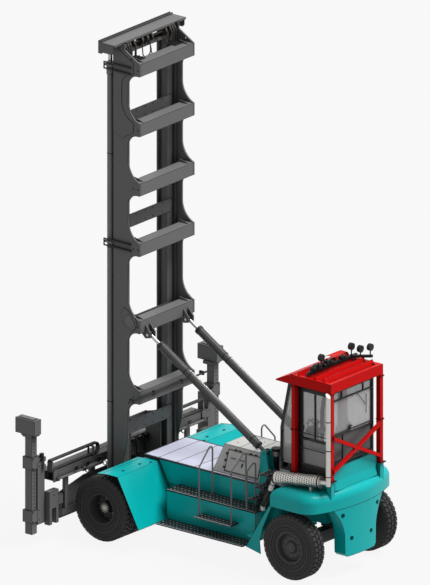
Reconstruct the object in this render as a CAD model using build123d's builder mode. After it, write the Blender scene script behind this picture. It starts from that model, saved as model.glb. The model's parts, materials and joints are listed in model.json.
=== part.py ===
"""Empty-container handler: a heavy counterweight forklift truck with a tall two-stage mast and a spreader.

Millimetres. x runs forward, y to the driver's left and z up. The origin is on the floor, at the middle of
the overall length and width. Lengthwise places are written from the front axle, as the maker's drawing does.
"""
from build123d import *
import os
from math import hypot

os.makedirs("parts", exist_ok=True)

# Overall reach, from the front axle
FRONT_REACH = 1280
WHEELBASE = 4457
REAR_OVERHANG = 823
FRONT_AXLE = (WHEELBASE + REAR_OVERHANG - FRONT_REACH) / 2
REAR_AXLE = FRONT_AXLE - WHEELBASE

# Wheels, all of one tyre size
TYRE_R = 685
TYRE_WIDTH = 375
RIM_R = 318
BEAD_DEPTH = 26
TWIN_GAP = 45
DRIVE_TRACK = 1890
STEER_TRACK = 1355
HUB_R = 130
AXLE_R = 150
RUNNING_GAP = 0.3

# Steering
KINGPIN_Y = 900
KINGPIN_R = 45

# Frame and bodywork
FRAME_HALF = 640
FRAME_WALL = 30
FRAME_BOTTOM = 480
FRAME_TOP = 1560
DECK_TOP = 1590
DECK_PLATE = 12
PANEL_HALF = 684
BOX_HALF = 1090
BOX_TOP = 1120
BOX_BOTTOM = 500
BOX_FRONT = FRONT_AXLE - 1086
BOX_REAR = REAR_AXLE + 1077
STEP_PLATE = 25
STEP_OUT = 1470
MID_STEP_Z = 805
MID_STEP_OUT = 1350
CAB_STEPS = ((REAR_AXLE + 1157, 1400), (REAR_AXLE + 977, 1700), (REAR_AXLE + 857, 1990))
TREAD = 230
TREAD_WIDTH = 360
STRINGER_Y = 725

# Front fenders
FENDER_OUT = 2000
FENDER_PLATE = 12
FENDER_FRONT = FRONT_AXLE
FENDER_CREST = FRONT_AXLE - 535
FENDER_FOOT = FRONT_AXLE - 1086
FENDER_FRONT_Z = 1490
FENDER_CREST_Z = 1525
FENDER_FOOT_Z = 500

# Engine hood
HOOD_FRONT = FRONT_AXLE - 1880
HOOD_REAR = REAR_AXLE + 1310
HOOD_TOP = 2140
HOOD_HALF = 600
HOOD_TOP_HALF = 400
HOOD_RAKE = 150
HOOD_SEAT = 25
SHEET = 8

# Rear body and counterweight
BODY_HALF = 1360
BODY_FRONT = REAR_AXLE + 477
BODY_REAR = REAR_AXLE - REAR_OVERHANG
BODY_BOTTOM = 1480
BODY_TOP = 1880
BODY_BOW = 330
BODY_CORNER = 380
BODY_EDGE = 200
PLINTH_TOP = 2060
PLINTH_HALF = 740
PLINTH_REAR = BODY_REAR + 140
PLINTH_SLOPE = 40
POST_FOOT = 2100
POST_FOOT_HALF = 56
COLLAR_TOP = 2350
COLLAR_HALF = 690
WEIGHT_BOTTOM = 430
WEIGHT_FOOT_HALF = 490
WEIGHT_FLARE = 270
WEIGHT_FRONT = REAR_AXLE - 503

# Cab
CAB_FRONT = REAR_AXLE + 737
CAB_REAR = REAR_AXLE - 603
CAB_LEFT = 700
CAB_RIGHT = -640
CAB_FLOOR = PLINTH_TOP + 50
CAB_ROOF = 3965
CAB_ROOF_PLATE = 50
CAB_SILL = 2420
CAB_POST = 60
GLASS = 8
DOOR_FRONT = REAR_AXLE + 217
DOOR_REAR = REAR_AXLE - 533
DOOR_THICK = 45
DOOR_GAP = 8

# Muffler beside the cab, which the door swings over
MUFFLER_R = 130
MUFFLER_FRONT = (REAR_AXLE + 607, 1030, 1990)
MUFFLER_REAR = (REAR_AXLE - 473, 880, 2080)
DOOR_BOTTOM = MUFFLER_REAR[2] + MUFFLER_R + 30

# Guard frame over the cab
GUARD_HALF = 787
GUARD_TUBE = 100
GUARD_FRONT = REAR_AXLE + 287
GUARD_REAR = REAR_AXLE - 643
GUARD_TOP = 4190
GUARD_RAIL = 210

# Mast
MAST_PIVOT_X = FRONT_AXLE + 300
MAST_PIVOT_Z = 600
PIVOT_R = 60
OUTER_Y = 885
OUTER_WEB = 40
OUTER_FLANGE_IN = 786
OUTER_FLANGE = 45
OUTER_BACK = FRONT_AXLE + 217
OUTER_FRONT = FRONT_AXLE + 470
OUTER_BOTTOM = 330
HEAD_TOP = 10380
HEAD_BOTTOM = HEAD_TOP - 330
OUTER_TOP = HEAD_TOP - 60
WAIST_X = FRONT_AXLE + 90
BEAM_BACK = FRONT_AXLE - 212
BEAM_FRONT = FRONT_AXLE + 50
BEAM_HEIGHT = 270
TILT_BEAM_TOP = 4480
OUTER_BEAM_TOPS = (HEAD_TOP - 410, HEAD_TOP - 1690, HEAD_TOP - 2960, HEAD_TOP - 4250, TILT_BEAM_TOP, 2970)
WAIST_R = 250
SWEEP_RISE = 430
NECK_RISE = 230
INNER_BACK = FRONT_AXLE + 275
INNER_FRONT = FRONT_AXLE + 510
INNER_FLANGE_OUT = 780
INNER_FLANGE_IN = 600
INNER_WEB_OUT = 660
INNER_WEB = 40
INNER_LIP_IN = 555
INNER_LIP_OUT = 700
INNER_FLANGE = 40
INNER_BOTTOM = 350
INNER_BEAM_TOPS = (HEAD_TOP - 1560, HEAD_TOP - 3780, 4400, 2190)
INNER_BEAM_HEIGHT = 280
INNER_BEAM_HALF = 730
INNER_BEAM_PLATE = 20
HEAD_HALF = 1148
HEAD_LIP = 30
HEAD_SIDE = 240
HEAD_BACK = FRONT_AXLE + 240
HEAD_FRONT = FRONT_AXLE + 650

# Lift cylinders
SHEAVE_X = FRONT_AXLE + 295
SHEAVE_Z = HEAD_TOP - 160
SHEAVE_R = 92
SHAFT_R = 25
CHAIN = 25
CHAIN_WIDTH = 40
CHAIN_PLACES = (490, 620, 690, 760)
HOSE_SHEAVES = (-90, 60, 220)
PRONG_IN = 912
PRONG_OUT = 932
PIPE_Z = 2850
PIPE_HALF = 1270
PIPE_R = 20
LIFT_X = FRONT_AXLE + 600
LIFT_Y = 820
LIFT_R = 65
LIFT_GLAND_R = 80
LIFT_GLAND = 250
LIFT_ROD_R = 45
LIFT_TOP = HEAD_BOTTOM - 200
LIFT_STROKE = 7000
ROD_GAP = 0.3

# Tilt cylinders
TILT_Y = 614
TILT_UPPER_X = FRONT_AXLE - 265
TILT_UPPER_Z = TILT_BEAM_TOP - 325
TILT_LOWER_X = REAR_AXLE + 1177
TILT_LOWER_Z = 2270
TILT_BARREL_R = 85
TILT_ROD_R = 38
TILT_SHOWN = 240
TILT_BORE = 620
TILT_EYE_R = 60
TILT_PIN_R = 30
TILT_EYE_HALF = 45
TILT_NECK = 210
TILT_EYE_PLAY = 10
TOWER_REAR = 220
TOWER_FRONT = 100

# Spreader
HEAD_OUT = 3030
HEAD_WIDTH = 210
HEAD_BLOCK_BACK = FRONT_AXLE + 780
HEAD_BLOCK_FRONT = FRONT_AXLE + FRONT_REACH
HEAD_BLOCK_BOTTOM = 2380
HEAD_BLOCK_TOP = 2700
COLUMN_FOOT = 250
APRON_X = FRONT_AXLE + 880
APRON_PLATE = 30
APRON_HALF = HEAD_OUT - 930
APRON_BOTTOM = 370
SLEEVE = 180
SLEEVE_WALL = 10
SLEEVE_GAP = 10
PAD = SLEEVE_GAP - RUNNING_GAP
PAD_LENGTH = 200
SLEEVE_Z = 1280
SLEEVE_HALF = HEAD_OUT - 580
FORK_IN = HEAD_OUT - 740
FORK_OUT = HEAD_OUT - 440
SIDE_CYLINDER_Z = 1310
HOSE_R = 23
HOSE_END = 905
REAR_SLEEVE_X = FRONT_AXLE + 770
FRONT_SLEEVE_X = FRONT_AXLE + 960
SIDE_CYLINDER_X = REAR_SLEEVE_X - 55
HOSE_X = REAR_SLEEVE_X + 90
HOSE_LOW = SLEEVE_Z + SLEEVE + HOSE_R
HOSE_HIGH = HOSE_LOW + 210
PIN_R = 25
PIN_LENGTH = 70


def block(x, y, z, mode=Mode.ADD):
    """Add or cut a box given by its (low, high) along each axis."""
    with Locations(((x[0] + x[1]) / 2, (y[0] + y[1]) / 2, (z[0] + z[1]) / 2)):
        Box(abs(x[1] - x[0]), abs(y[1] - y[0]), abs(z[1] - z[0]), mode=mode)


def side_plate(outline, y, mode=Mode.ADD):
    """Add or cut a plate drawn in x and z, between two y values."""
    low, high = sorted(y)
    with BuildSketch(Plane(origin=(0, high, 0), x_dir=(1, 0, 0), z_dir=(0, -1, 0))) as drawn:
        with BuildLine():
            Polyline(*outline, close=True)
        make_face()
    extrude(drawn.sketch, amount=high - low, mode=mode)


def cross_plate(outline, x, mode=Mode.ADD):
    """Add or cut a plate drawn in y and z, between two x values."""
    low, high = sorted(x)
    with BuildSketch(Plane.YZ.offset(low)) as drawn:
        with BuildLine():
            Polyline(*outline, close=True)
        make_face()
    extrude(drawn.sketch, amount=high - low, mode=mode)


def rod_between(start, end, radius, mode=Mode.ADD):
    """Add or cut a round bar from one point to another."""
    way = Vector(*end) - Vector(*start)
    with BuildSketch(Plane(origin=start, z_dir=tuple(way))) as drawn:
        Circle(radius)
    extrude(drawn.sketch, amount=way.length, mode=mode)


def tube_run(points, radius, bend):
    """Add a bent tube along points with one bend radius."""
    with BuildLine() as run:
        FilletPolyline(*points, radius=bend)
    with BuildSketch(Plane(origin=points[0], z_dir=tuple(Vector(*points[1]) - Vector(*points[0])))) as drawn:
        Circle(radius)
    sweep(drawn.sketch, path=run.wires()[0])


def save(part, label):
    """Name a finished piece and write its file."""
    part.part.label = label
    export_step(part.part, f"parts/{label}.step")


# Tyres: one section turned about the axle, out to the tips of its lugs
TYRE_SECTION = (
    # share of the half width, radius
    (0.62, RIM_R),
    (0.80, RIM_R + BEAD_DEPTH),
    (1.00, RIM_R + 150),
    (1.00, RIM_R + 215),
    (0.86, TYRE_R - 35),
    (0.76, TYRE_R),
)


def tyre(x, y_middle):
    """Add one tyre whose middle plane is at y_middle."""
    half = TYRE_WIDTH / 2
    right = [(y_middle - share * half, radius) for share, radius in TYRE_SECTION]
    left = [(y_middle + share * half, radius) for share, radius in reversed(TYRE_SECTION)]
    with BuildSketch(Plane(origin=(x, 0, TYRE_R), x_dir=(0, 1, 0), z_dir=(1, 0, 0))) as drawn:
        with BuildLine():
            Polyline(*right, *left, close=True)
        make_face()
    revolve(drawn.sketch, axis=Axis((x, 0, TYRE_R), (0, 1, 0)))


def turned(x, z, outline, mode=Mode.ADD):
    """Turn an outline of (y, radius) points about an axle along y."""
    with BuildSketch(Plane(origin=(x, 0, z), x_dir=(0, 1, 0), z_dir=(1, 0, 0))) as drawn:
        with BuildLine():
            Polyline(*outline, close=True)
        make_face()
    revolve(drawn.sketch, axis=Axis((x, 0, z), (0, 1, 0)), mode=mode)


RIM_WALL = 14
RIM_HALF = TYRE_WIDTH / 2 * 0.80
DRIVE_OUTER_Y = DRIVE_TRACK - TYRE_WIDTH / 2
DRIVE_INNER_Y = DRIVE_OUTER_Y - TYRE_WIDTH - TWIN_GAP
STEER_Y = STEER_TRACK - TYRE_WIDTH / 2
DISC_Y = (DRIVE_OUTER_Y + DRIVE_INNER_Y) / 2
DISC_HALF = 78
HUB_FACE = DRIVE_TRACK - 150

for side, sign in (("left", 1), ("right", -1)):
    with BuildPart() as drive_tyres:
        for middle in (DRIVE_OUTER_Y, DRIVE_INNER_Y):
            tyre(FRONT_AXLE, sign * middle)
    save(drive_tyres, f"drive_tyres_{side}")

    # Two rims bolted to one deep wheel disc, with the planetary hub standing in the outer one
    with BuildPart() as drive_rims:
        for middle in (DRIVE_OUTER_Y, DRIVE_INNER_Y):
            turned(FRONT_AXLE, TYRE_R, (
                (sign * (middle - RIM_HALF), RIM_R + BEAD_DEPTH),
                (sign * (middle - RIM_HALF + 20), RIM_R),
                (sign * (middle + RIM_HALF - 20), RIM_R),
                (sign * (middle + RIM_HALF), RIM_R + BEAD_DEPTH),
                (sign * (middle + RIM_HALF), RIM_R - RIM_WALL),
                (sign * (middle - RIM_HALF), RIM_R - RIM_WALL),
            ))
        turned(FRONT_AXLE, TYRE_R, (
            (sign * (DISC_Y - DISC_HALF), 0),
            (sign * (DISC_Y - DISC_HALF), RIM_R - RIM_WALL / 2),
            (sign * (DISC_Y + DISC_HALF), RIM_R - RIM_WALL / 2),
            (sign * (DISC_Y + DISC_HALF), RIM_R - 2 * RIM_WALL),
            (sign * (DISC_Y + 25), HUB_R + 60),
            (sign * (DISC_Y + 25), HUB_R),
            (sign * HUB_FACE, HUB_R - 20),
            (sign * HUB_FACE, 0),
        ))
    save(drive_rims, f"drive_rims_{side}")

    with BuildPart() as steer_tyre:
        tyre(REAR_AXLE, sign * STEER_Y)
    save(steer_tyre, f"steer_tyre_{side}")

    # A rim with a dished disc and a domed hub cap
    with BuildPart() as steer_rim:
        turned(REAR_AXLE, TYRE_R, (
            (sign * (STEER_Y - RIM_HALF), RIM_R + BEAD_DEPTH),
            (sign * (STEER_Y - RIM_HALF + 20), RIM_R),
            (sign * (STEER_Y + RIM_HALF - 20), RIM_R),
            (sign * (STEER_Y + RIM_HALF), RIM_R + BEAD_DEPTH),
            (sign * (STEER_Y + RIM_HALF), RIM_R - RIM_WALL),
            (sign * (STEER_Y + 60), RIM_R - 30),
            (sign * (STEER_Y + 95), RIM_R - 110),
            (sign * (STEER_Y + 60), HUB_R),
            (sign * (STEER_Y + 110), HUB_R - 30),
            (sign * (STEER_Y + 130), 60),
            (sign * (STEER_Y + 130), 0),
            (sign * (STEER_Y - 20), 0),
            (sign * (STEER_Y - 20), HUB_R),
            (sign * (STEER_Y + 30), RIM_R - 110),
            (sign * (STEER_Y + 10), RIM_R - RIM_WALL),
            (sign * (STEER_Y - RIM_HALF), RIM_R - RIM_WALL),
        ))
    save(steer_rim, f"steer_rim_{side}")

    # Steering knuckle: a spindle block that turns on the kingpin between the axle's fork plates
    with BuildPart() as knuckle:
        block((REAR_AXLE - 90, REAR_AXLE + 90), (sign * (KINGPIN_Y - 70), sign * (KINGPIN_Y + 70)),
              (TYRE_R - 120, TYRE_R + 120))
        rod_between((REAR_AXLE, sign * KINGPIN_Y, TYRE_R), (REAR_AXLE, sign * (STEER_Y - 20 - RUNNING_GAP), TYRE_R), 90)
        rod_between((REAR_AXLE, sign * KINGPIN_Y, TYRE_R - 250), (REAR_AXLE, sign * KINGPIN_Y, TYRE_R + 250),
                    KINGPIN_R)
        block((REAR_AXLE + 60, REAR_AXLE + 300), (sign * (KINGPIN_Y - 40), sign * (KINGPIN_Y + 30)),
              (TYRE_R - 110, TYRE_R - 60))
    save(knuckle, f"knuckle_{side}")

# Steer axle: a box beam with fork plates round each kingpin, hung under the frame at its middle
with BuildPart() as steer_axle:
    block((REAR_AXLE - 110, REAR_AXLE + 110), (-(KINGPIN_Y - 170), KINGPIN_Y - 170), (TYRE_R - 130, TYRE_R + 130))
    for sign in (1, -1):
        for low, high in ((TYRE_R - 200, TYRE_R - 130), (TYRE_R + 130, TYRE_R + 200)):
            block((REAR_AXLE - 90, REAR_AXLE + 90), (sign * (KINGPIN_Y - 330), sign * (KINGPIN_Y + 60)), (low, high))
            with Locations((REAR_AXLE, sign * KINGPIN_Y, (low + high) / 2)):
                Cylinder(KINGPIN_R + 0.05, high - low, mode=Mode.SUBTRACT)
    block((REAR_AXLE - 150, REAR_AXLE + 150), (-120, 120), (TYRE_R + 130, FRAME_TOP - 560))
save(steer_axle, "steer_axle")

# Drive axle: a round housing with a bowl at the middle and a flange at each wheel
with BuildPart() as drive_axle:
    turned(FRONT_AXLE, TYRE_R, (
        (-(DISC_Y - DISC_HALF - RUNNING_GAP), 0),
        (-(DISC_Y - DISC_HALF - RUNNING_GAP), AXLE_R),
        (-1000, 190),
        (-985, AXLE_R),
        (-420, AXLE_R),
        (-250, 260),
        (250, 260),
        (420, AXLE_R),
        (985, AXLE_R),
        (1000, 190),
        (DISC_Y - DISC_HALF - RUNNING_GAP, AXLE_R),
        (DISC_Y - DISC_HALF - RUNNING_GAP, 0),
    ))
save(drive_axle, "drive_axle")

# Frame: two long side plates with a floor between them, mast hangers in front and the tilt cylinder towers
HANGER_IN = OUTER_Y + 10
HANGER_OUT = HANGER_IN + 50
SADDLE_TOP = TYRE_R + AXLE_R + 130
EAR = 35
EAR_GAP = 10
EAR_IN = TILT_Y - TILT_EYE_HALF - EAR_GAP - EAR
EAR_OUT = TILT_Y + TILT_EYE_HALF + EAR_GAP + EAR
with BuildPart() as chassis_frame:
    for sign in (1, -1):
        side_plate((
            (FRONT_AXLE + 100, TYRE_R + AXLE_R + 20),
            (FRONT_AXLE + 60, 1100),
            (FRONT_AXLE - 140, FRAME_TOP - 60),
            (FRONT_AXLE - 900, FRAME_TOP),
            (REAR_AXLE - 243, FRAME_TOP),
            (REAR_AXLE - 243, 1450),
            (REAR_AXLE + 817, 1420),
            (REAR_AXLE + 897, FRAME_BOTTOM),
            (FRONT_AXLE - 300, FRAME_BOTTOM),
            (FRONT_AXLE - 200, TYRE_R + AXLE_R + 20),
        ), (sign * (FRAME_HALF - FRAME_WALL), sign * FRAME_HALF))
        # saddle on the axle housing, and the hanger plate that reaches forward to the mast's pivot
        block((FRONT_AXLE - 120, FRONT_AXLE + 120), (sign * (FRAME_HALF - FRAME_WALL), sign * HANGER_OUT),
              (TYRE_R + 90, SADDLE_TOP))
        side_plate((
            (FRONT_AXLE - 120, SADDLE_TOP),
            (FRONT_AXLE + 140, SADDLE_TOP),
            (MAST_PIVOT_X + 70, MAST_PIVOT_Z + 90),
            (MAST_PIVOT_X + 105, MAST_PIVOT_Z),
            (MAST_PIVOT_X + 70, MAST_PIVOT_Z - 90),
            (MAST_PIVOT_X - 60, MAST_PIVOT_Z - 110),
            (FRONT_AXLE - 120, TYRE_R),
        ), (sign * HANGER_IN, sign * HANGER_OUT))
        rod_between((MAST_PIVOT_X, sign * (OUTER_Y - OUTER_WEB), MAST_PIVOT_Z),
                    (MAST_PIVOT_X, sign * (HANGER_OUT + 15), MAST_PIVOT_Z), PIVOT_R)
        # towers for the tilt cylinders' lower pins
        for near, far in ((EAR_IN, EAR_IN + EAR), (EAR_OUT - EAR, EAR_OUT)):
            side_plate((
                (TILT_LOWER_X - TOWER_REAR, DECK_TOP),
                (TILT_LOWER_X - 75, TILT_LOWER_Z + 40),
                (TILT_LOWER_X - 40, TILT_LOWER_Z + 75),
                (TILT_LOWER_X + 40, TILT_LOWER_Z + 75),
                (TILT_LOWER_X + 75, TILT_LOWER_Z + 40),
                (TILT_LOWER_X + TOWER_FRONT, DECK_TOP),
            ), (sign * near, sign * far))
        block((TILT_LOWER_X - TOWER_REAR, TILT_LOWER_X + TOWER_FRONT), (sign * EAR_IN, sign * FRAME_HALF),
              (FRAME_TOP, DECK_TOP + 10))
        block((TILT_LOWER_X - TOWER_REAR, TILT_LOWER_X + TOWER_FRONT), (sign * FRAME_HALF, sign * EAR_OUT),
              (DECK_TOP - DECK_PLATE, DECK_TOP + 10))
        rod_between((TILT_LOWER_X, sign * EAR_IN, TILT_LOWER_Z),
                    (TILT_LOWER_X, sign * (EAR_OUT + 10), TILT_LOWER_Z), TILT_PIN_R)
    block((REAR_AXLE + 897, FRONT_AXLE - 420), (-(FRAME_HALF - FRAME_WALL), FRAME_HALF - FRAME_WALL),
          (FRAME_BOTTOM, FRAME_BOTTOM + FRAME_WALL))
    block((REAR_AXLE - 243, REAR_AXLE + 897), (-420, 420), (1000, FRAME_TOP))
    block((REAR_AXLE - 243, REAR_AXLE + 897), (-FRAME_HALF, FRAME_HALF), (1450, FRAME_TOP))
    block((REAR_AXLE + 867, REAR_AXLE + 897), (-FRAME_HALF, FRAME_HALF), (FRAME_BOTTOM, FRAME_TOP))
    turned(FRONT_AXLE, TYRE_R, ((-HANGER_OUT - 1, 0), (-HANGER_OUT - 1, AXLE_R), (HANGER_OUT + 1, AXLE_R),
                                (HANGER_OUT + 1, 0)), mode=Mode.SUBTRACT)
save(chassis_frame, "chassis_frame")

# Front fenders: a bent plate over each pair of drive wheels, with a lip and an inner wall
with BuildPart() as front_fenders:
    for sign in (1, -1):
        side_plate((
            (FENDER_FRONT, FENDER_FRONT_Z - FENDER_PLATE),
            (FENDER_FRONT, FENDER_FRONT_Z),
            (FENDER_FRONT - 260, FENDER_CREST_Z),
            (FENDER_CREST, FENDER_CREST_Z),
            (FENDER_FOOT, FENDER_FOOT_Z),
            (FENDER_FOOT + 14, FENDER_FOOT_Z - FENDER_PLATE / 2),
            (FENDER_CREST + 6, FENDER_CREST_Z - FENDER_PLATE),
            (FENDER_FRONT - 260, FENDER_CREST_Z - FENDER_PLATE),
        ), (sign * PANEL_HALF, sign * FENDER_OUT))
        side_plate((
            (FRONT_AXLE - 140, FENDER_CREST_Z - 90),
            (FRONT_AXLE - 140, FENDER_CREST_Z - FENDER_PLATE),
            (FENDER_CREST + 6, FENDER_CREST_Z - FENDER_PLATE),
            (FENDER_FOOT + 30, FENDER_FOOT_Z + 30),
            (FENDER_FOOT + 90, FENDER_FOOT_Z + 30),
            (FENDER_CREST + 50, FENDER_CREST_Z - 90),
        ), (sign * FRAME_HALF, sign * (PANEL_HALF + 16)))
save(front_fenders, "front_fenders")

# Side boxes: the tanks between the wheels, a low wide box under a narrow tall one
with BuildPart() as side_boxes:
    for sign in (1, -1):
        block((BOX_REAR, BOX_FRONT), (sign * FRAME_HALF, sign * BOX_HALF), (BOX_BOTTOM, BOX_TOP))
        side_plate((
            (BOX_FRONT, BOX_TOP),
            (FENDER_CREST - 245, BOX_TOP),
            (FENDER_CREST - 20, DECK_TOP - DECK_PLATE),
            (REAR_AXLE + 757, DECK_TOP - DECK_PLATE),
            (REAR_AXLE + 957, BOX_TOP),
            (BOX_REAR, BOX_TOP),
        ), (sign * FRAME_HALF, sign * PANEL_HALF))
        side_plate((
            (REAR_AXLE + 1097, 490),
            (REAR_AXLE + 507, BODY_BOTTOM),
            (REAR_AXLE + 437, BODY_BOTTOM),
            (REAR_AXLE + 657, 1000),
            (REAR_AXLE + 742, 685),
            (REAR_AXLE + 717, 410),
        ), (sign * (BODY_HALF - 14), sign * BODY_HALF))
        side_plate((
            (BOX_REAR, 700),
            (BOX_REAR, 760),
            (BOX_REAR - 150, 760),
            (BOX_REAR - 150, 700),
        ), (sign * (BOX_HALF - 120), sign * (BODY_HALF - 14)))
        block((BOX_REAR - 150, BOX_REAR), (sign * FRAME_HALF, sign * BOX_HALF), (620, 760))
save(side_boxes, "side_boxes")

# Running boards and steps in black tread plate
with BuildPart() as running_boards:
    for sign in (1, -1):
        block((BOX_REAR, BOX_FRONT), (sign * PANEL_HALF, sign * BOX_HALF), (BOX_TOP, BOX_TOP + STEP_PLATE))
        block((BOX_REAR + 25, BOX_FRONT - 20), (sign * BOX_HALF, sign * STEP_OUT), (BOX_BOTTOM, BOX_BOTTOM + STEP_PLATE))
        block((BOX_REAR + 430, BOX_FRONT - 914), (sign * BOX_HALF, sign * MID_STEP_OUT),
              (MID_STEP_Z, MID_STEP_Z + STEP_PLATE))
        # three treads up to the cab on one stringer plate that stands on the upper board
        for x, z in CAB_STEPS:
            block((x - TREAD / 2, x + TREAD / 2), (sign * STRINGER_Y, sign * (STRINGER_Y + TREAD_WIDTH)),
                  (z - STEP_PLATE, z))
            block((x - TREAD / 2, x - TREAD / 2 + 12), (sign * STRINGER_Y, sign * (STRINGER_Y + TREAD_WIDTH)),
                  (z - STEP_PLATE, z + 15))
        front, rear = TREAD / 2, -TREAD / 2
        side_plate((
            (BOX_REAR + 220, BOX_TOP + STEP_PLATE),
            (CAB_STEPS[0][0] + front, CAB_STEPS[0][1]),
            (CAB_STEPS[1][0] + front, CAB_STEPS[1][1]),
            (CAB_STEPS[2][0] + front, CAB_STEPS[2][1]),
            (CAB_STEPS[2][0] + rear, CAB_STEPS[2][1]),
            (CAB_STEPS[2][0] + rear, CAB_STEPS[2][1] - 60),
            (CAB_STEPS[1][0] + rear, CAB_STEPS[1][1] - 60),
            (CAB_STEPS[0][0] + rear, CAB_STEPS[0][1] - 60),
            (BOX_REAR + 20, BOX_TOP + STEP_PLATE),
        ), (sign * STRINGER_Y, sign * (STRINGER_Y + 20)))
save(running_boards, "running_boards")

# Deck plates over the frame in front of the hood and behind it
REAR_DECK_HALF = 510
with BuildPart() as deck_plates:
    block((HOOD_FRONT - HOOD_SEAT, FRONT_AXLE - 160), (-PANEL_HALF, PANEL_HALF), (DECK_TOP - DECK_PLATE, DECK_TOP))
    for sign in (1, -1):
        block((HOOD_REAR, HOOD_FRONT), (sign * (HOOD_HALF - HOOD_SEAT), sign * PANEL_HALF),
              (DECK_TOP - DECK_PLATE, DECK_TOP))
    block((FRONT_AXLE - 900, FRONT_AXLE - 160), (-FRAME_HALF, FRAME_HALF), (FRAME_TOP, DECK_TOP - DECK_PLATE))
    # the plate behind the hood, between the tilt cylinders, on its ledge
    block((CAB_FRONT - 35, HOOD_REAR + HOOD_SEAT), (-REAR_DECK_HALF, REAR_DECK_HALF), (DECK_TOP - DECK_PLATE, DECK_TOP))
    block((CAB_FRONT - 35, REAR_AXLE + 867), (-REAR_DECK_HALF, REAR_DECK_HALF), (FRAME_TOP, DECK_TOP - DECK_PLATE))
save(deck_plates, "deck_plates")

# Engine hood: a tapered cover, hollow over the engine
with BuildPart() as engine_hood:
    for grow, mode in ((0, Mode.ADD), (SHEET, Mode.SUBTRACT)):
        with BuildSketch(Plane.XY.offset(DECK_TOP)):
            with BuildLine():
                Polyline((HOOD_FRONT - grow, HOOD_HALF - grow), (HOOD_REAR + grow, HOOD_HALF - grow),
                         (HOOD_REAR + grow, -HOOD_HALF + grow), (HOOD_FRONT - grow, -HOOD_HALF + grow), close=True)
            make_face()
        with BuildSketch(Plane.XY.offset(HOOD_TOP - grow)):
            with BuildLine():
                Polyline((HOOD_FRONT - HOOD_RAKE - grow, HOOD_TOP_HALF - grow),
                         (HOOD_REAR + grow, HOOD_TOP_HALF - grow),
                         (HOOD_REAR + grow, -HOOD_TOP_HALF + grow),
                         (HOOD_FRONT - HOOD_RAKE - grow, -HOOD_TOP_HALF + grow), close=True)
            make_face()
        loft(ruled=True, mode=mode)
save(engine_hood, "engine_hood")

with BuildPart() as engine_block:
    block((HOOD_REAR + 100, HOOD_FRONT - 170), (-330, 330), (FRAME_BOTTOM + FRAME_WALL, 1850))
save(engine_block, "engine_block")

# Handrails beside the steps, each a bent tube from the running board over to a lower foot
RAIL_R = 17
HANDRAILS = (
    # x, inner leg's y and top, outer leg's y and top, outer foot
    (BOX_FRONT - 944, 790, 2300, 1220, 1850, MID_STEP_Z + STEP_PLATE),
    (BOX_REAR + 480, 790, 2310, 1260, 1960, MID_STEP_Z + STEP_PLATE),
    (BOX_REAR + 230, 790, 2150, 1070, 1960, BOX_TOP + STEP_PLATE),
)
with BuildPart() as handrails:
    for sign in (1, -1):
        for x, inner_y, inner_top, outer_y, outer_top, foot in HANDRAILS:
            tube_run([
                (x, sign * inner_y, BOX_TOP + STEP_PLATE),
                (x, sign * inner_y, inner_top),
                (x, sign * outer_y, outer_top),
                (x, sign * outer_y, foot),
            ], RAIL_R, 70)
save(handrails, "handrails")

# Rear body: a cast cover bowed round behind, with a sloping crown and a collar behind the cab
def body_plan(inset, z):
    """Draw the body's plan, shrunk all round by inset, at one height."""
    half = BODY_HALF - inset
    rear = BODY_REAR + inset
    with BuildSketch(Plane.XY.offset(z)) as drawn:
        with BuildLine():
            Polyline((rear + BODY_BOW, half), (BODY_FRONT - inset, half), (BODY_FRONT - inset, -half),
                     (rear + BODY_BOW, -half))
            ThreePointArc((rear + BODY_BOW, half), (rear, 0), (rear + BODY_BOW, -half))
        make_face()
        fillet(drawn.vertices().group_by(Axis.X)[0], radius=BODY_CORNER - inset / 2)
    return drawn.sketch


with BuildPart() as rear_body:
    extrude(body_plan(0, BODY_BOTTOM), amount=BODY_TOP - BODY_BOTTOM)
    fillet(rear_body.faces().sort_by(Axis.Z)[-1].edges(), radius=BODY_EDGE)
    for z, inset in ((BODY_TOP - 20, 0), (PLINTH_TOP, PLINTH_SLOPE)):
        with BuildSketch(Plane.XY.offset(z)):
            with Locations(((PLINTH_REAR + BODY_FRONT) / 2, 0)):
                RectangleRounded(BODY_FRONT - PLINTH_REAR - 2 * inset, 2 * (PLINTH_HALF - inset), 120 - inset)
    loft(ruled=True)
    with BuildSketch(Plane.YZ.offset(PLINTH_REAR + PLINTH_SLOPE)) as collar:
        with Locations((0, (PLINTH_TOP + COLLAR_TOP) / 2 - 40)):
            RectangleRounded(2 * COLLAR_HALF, COLLAR_TOP - PLINTH_TOP + 80, 150)
    extrude(collar.sketch, amount=CAB_REAR - 6 - PLINTH_REAR - PLINTH_SLOPE)
    for sign in (1, -1):
        for x in (GUARD_FRONT, GUARD_REAR):
            block((x - POST_FOOT_HALF, x + POST_FOOT_HALF),
                  (sign * (GUARD_HALF - POST_FOOT_HALF), sign * (GUARD_HALF + POST_FOOT_HALF)), (BODY_TOP - 150, POST_FOOT))
    block((REAR_AXLE - 243, BODY_FRONT), (-FRAME_HALF, FRAME_HALF), (BODY_BOTTOM, FRAME_TOP), mode=Mode.SUBTRACT)
    block((CAB_FRONT - 40, BODY_FRONT), (-BODY_HALF, BODY_HALF), (BODY_BOTTOM, COLLAR_TOP), mode=Mode.SUBTRACT)
save(rear_body, "rear_body")

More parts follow.
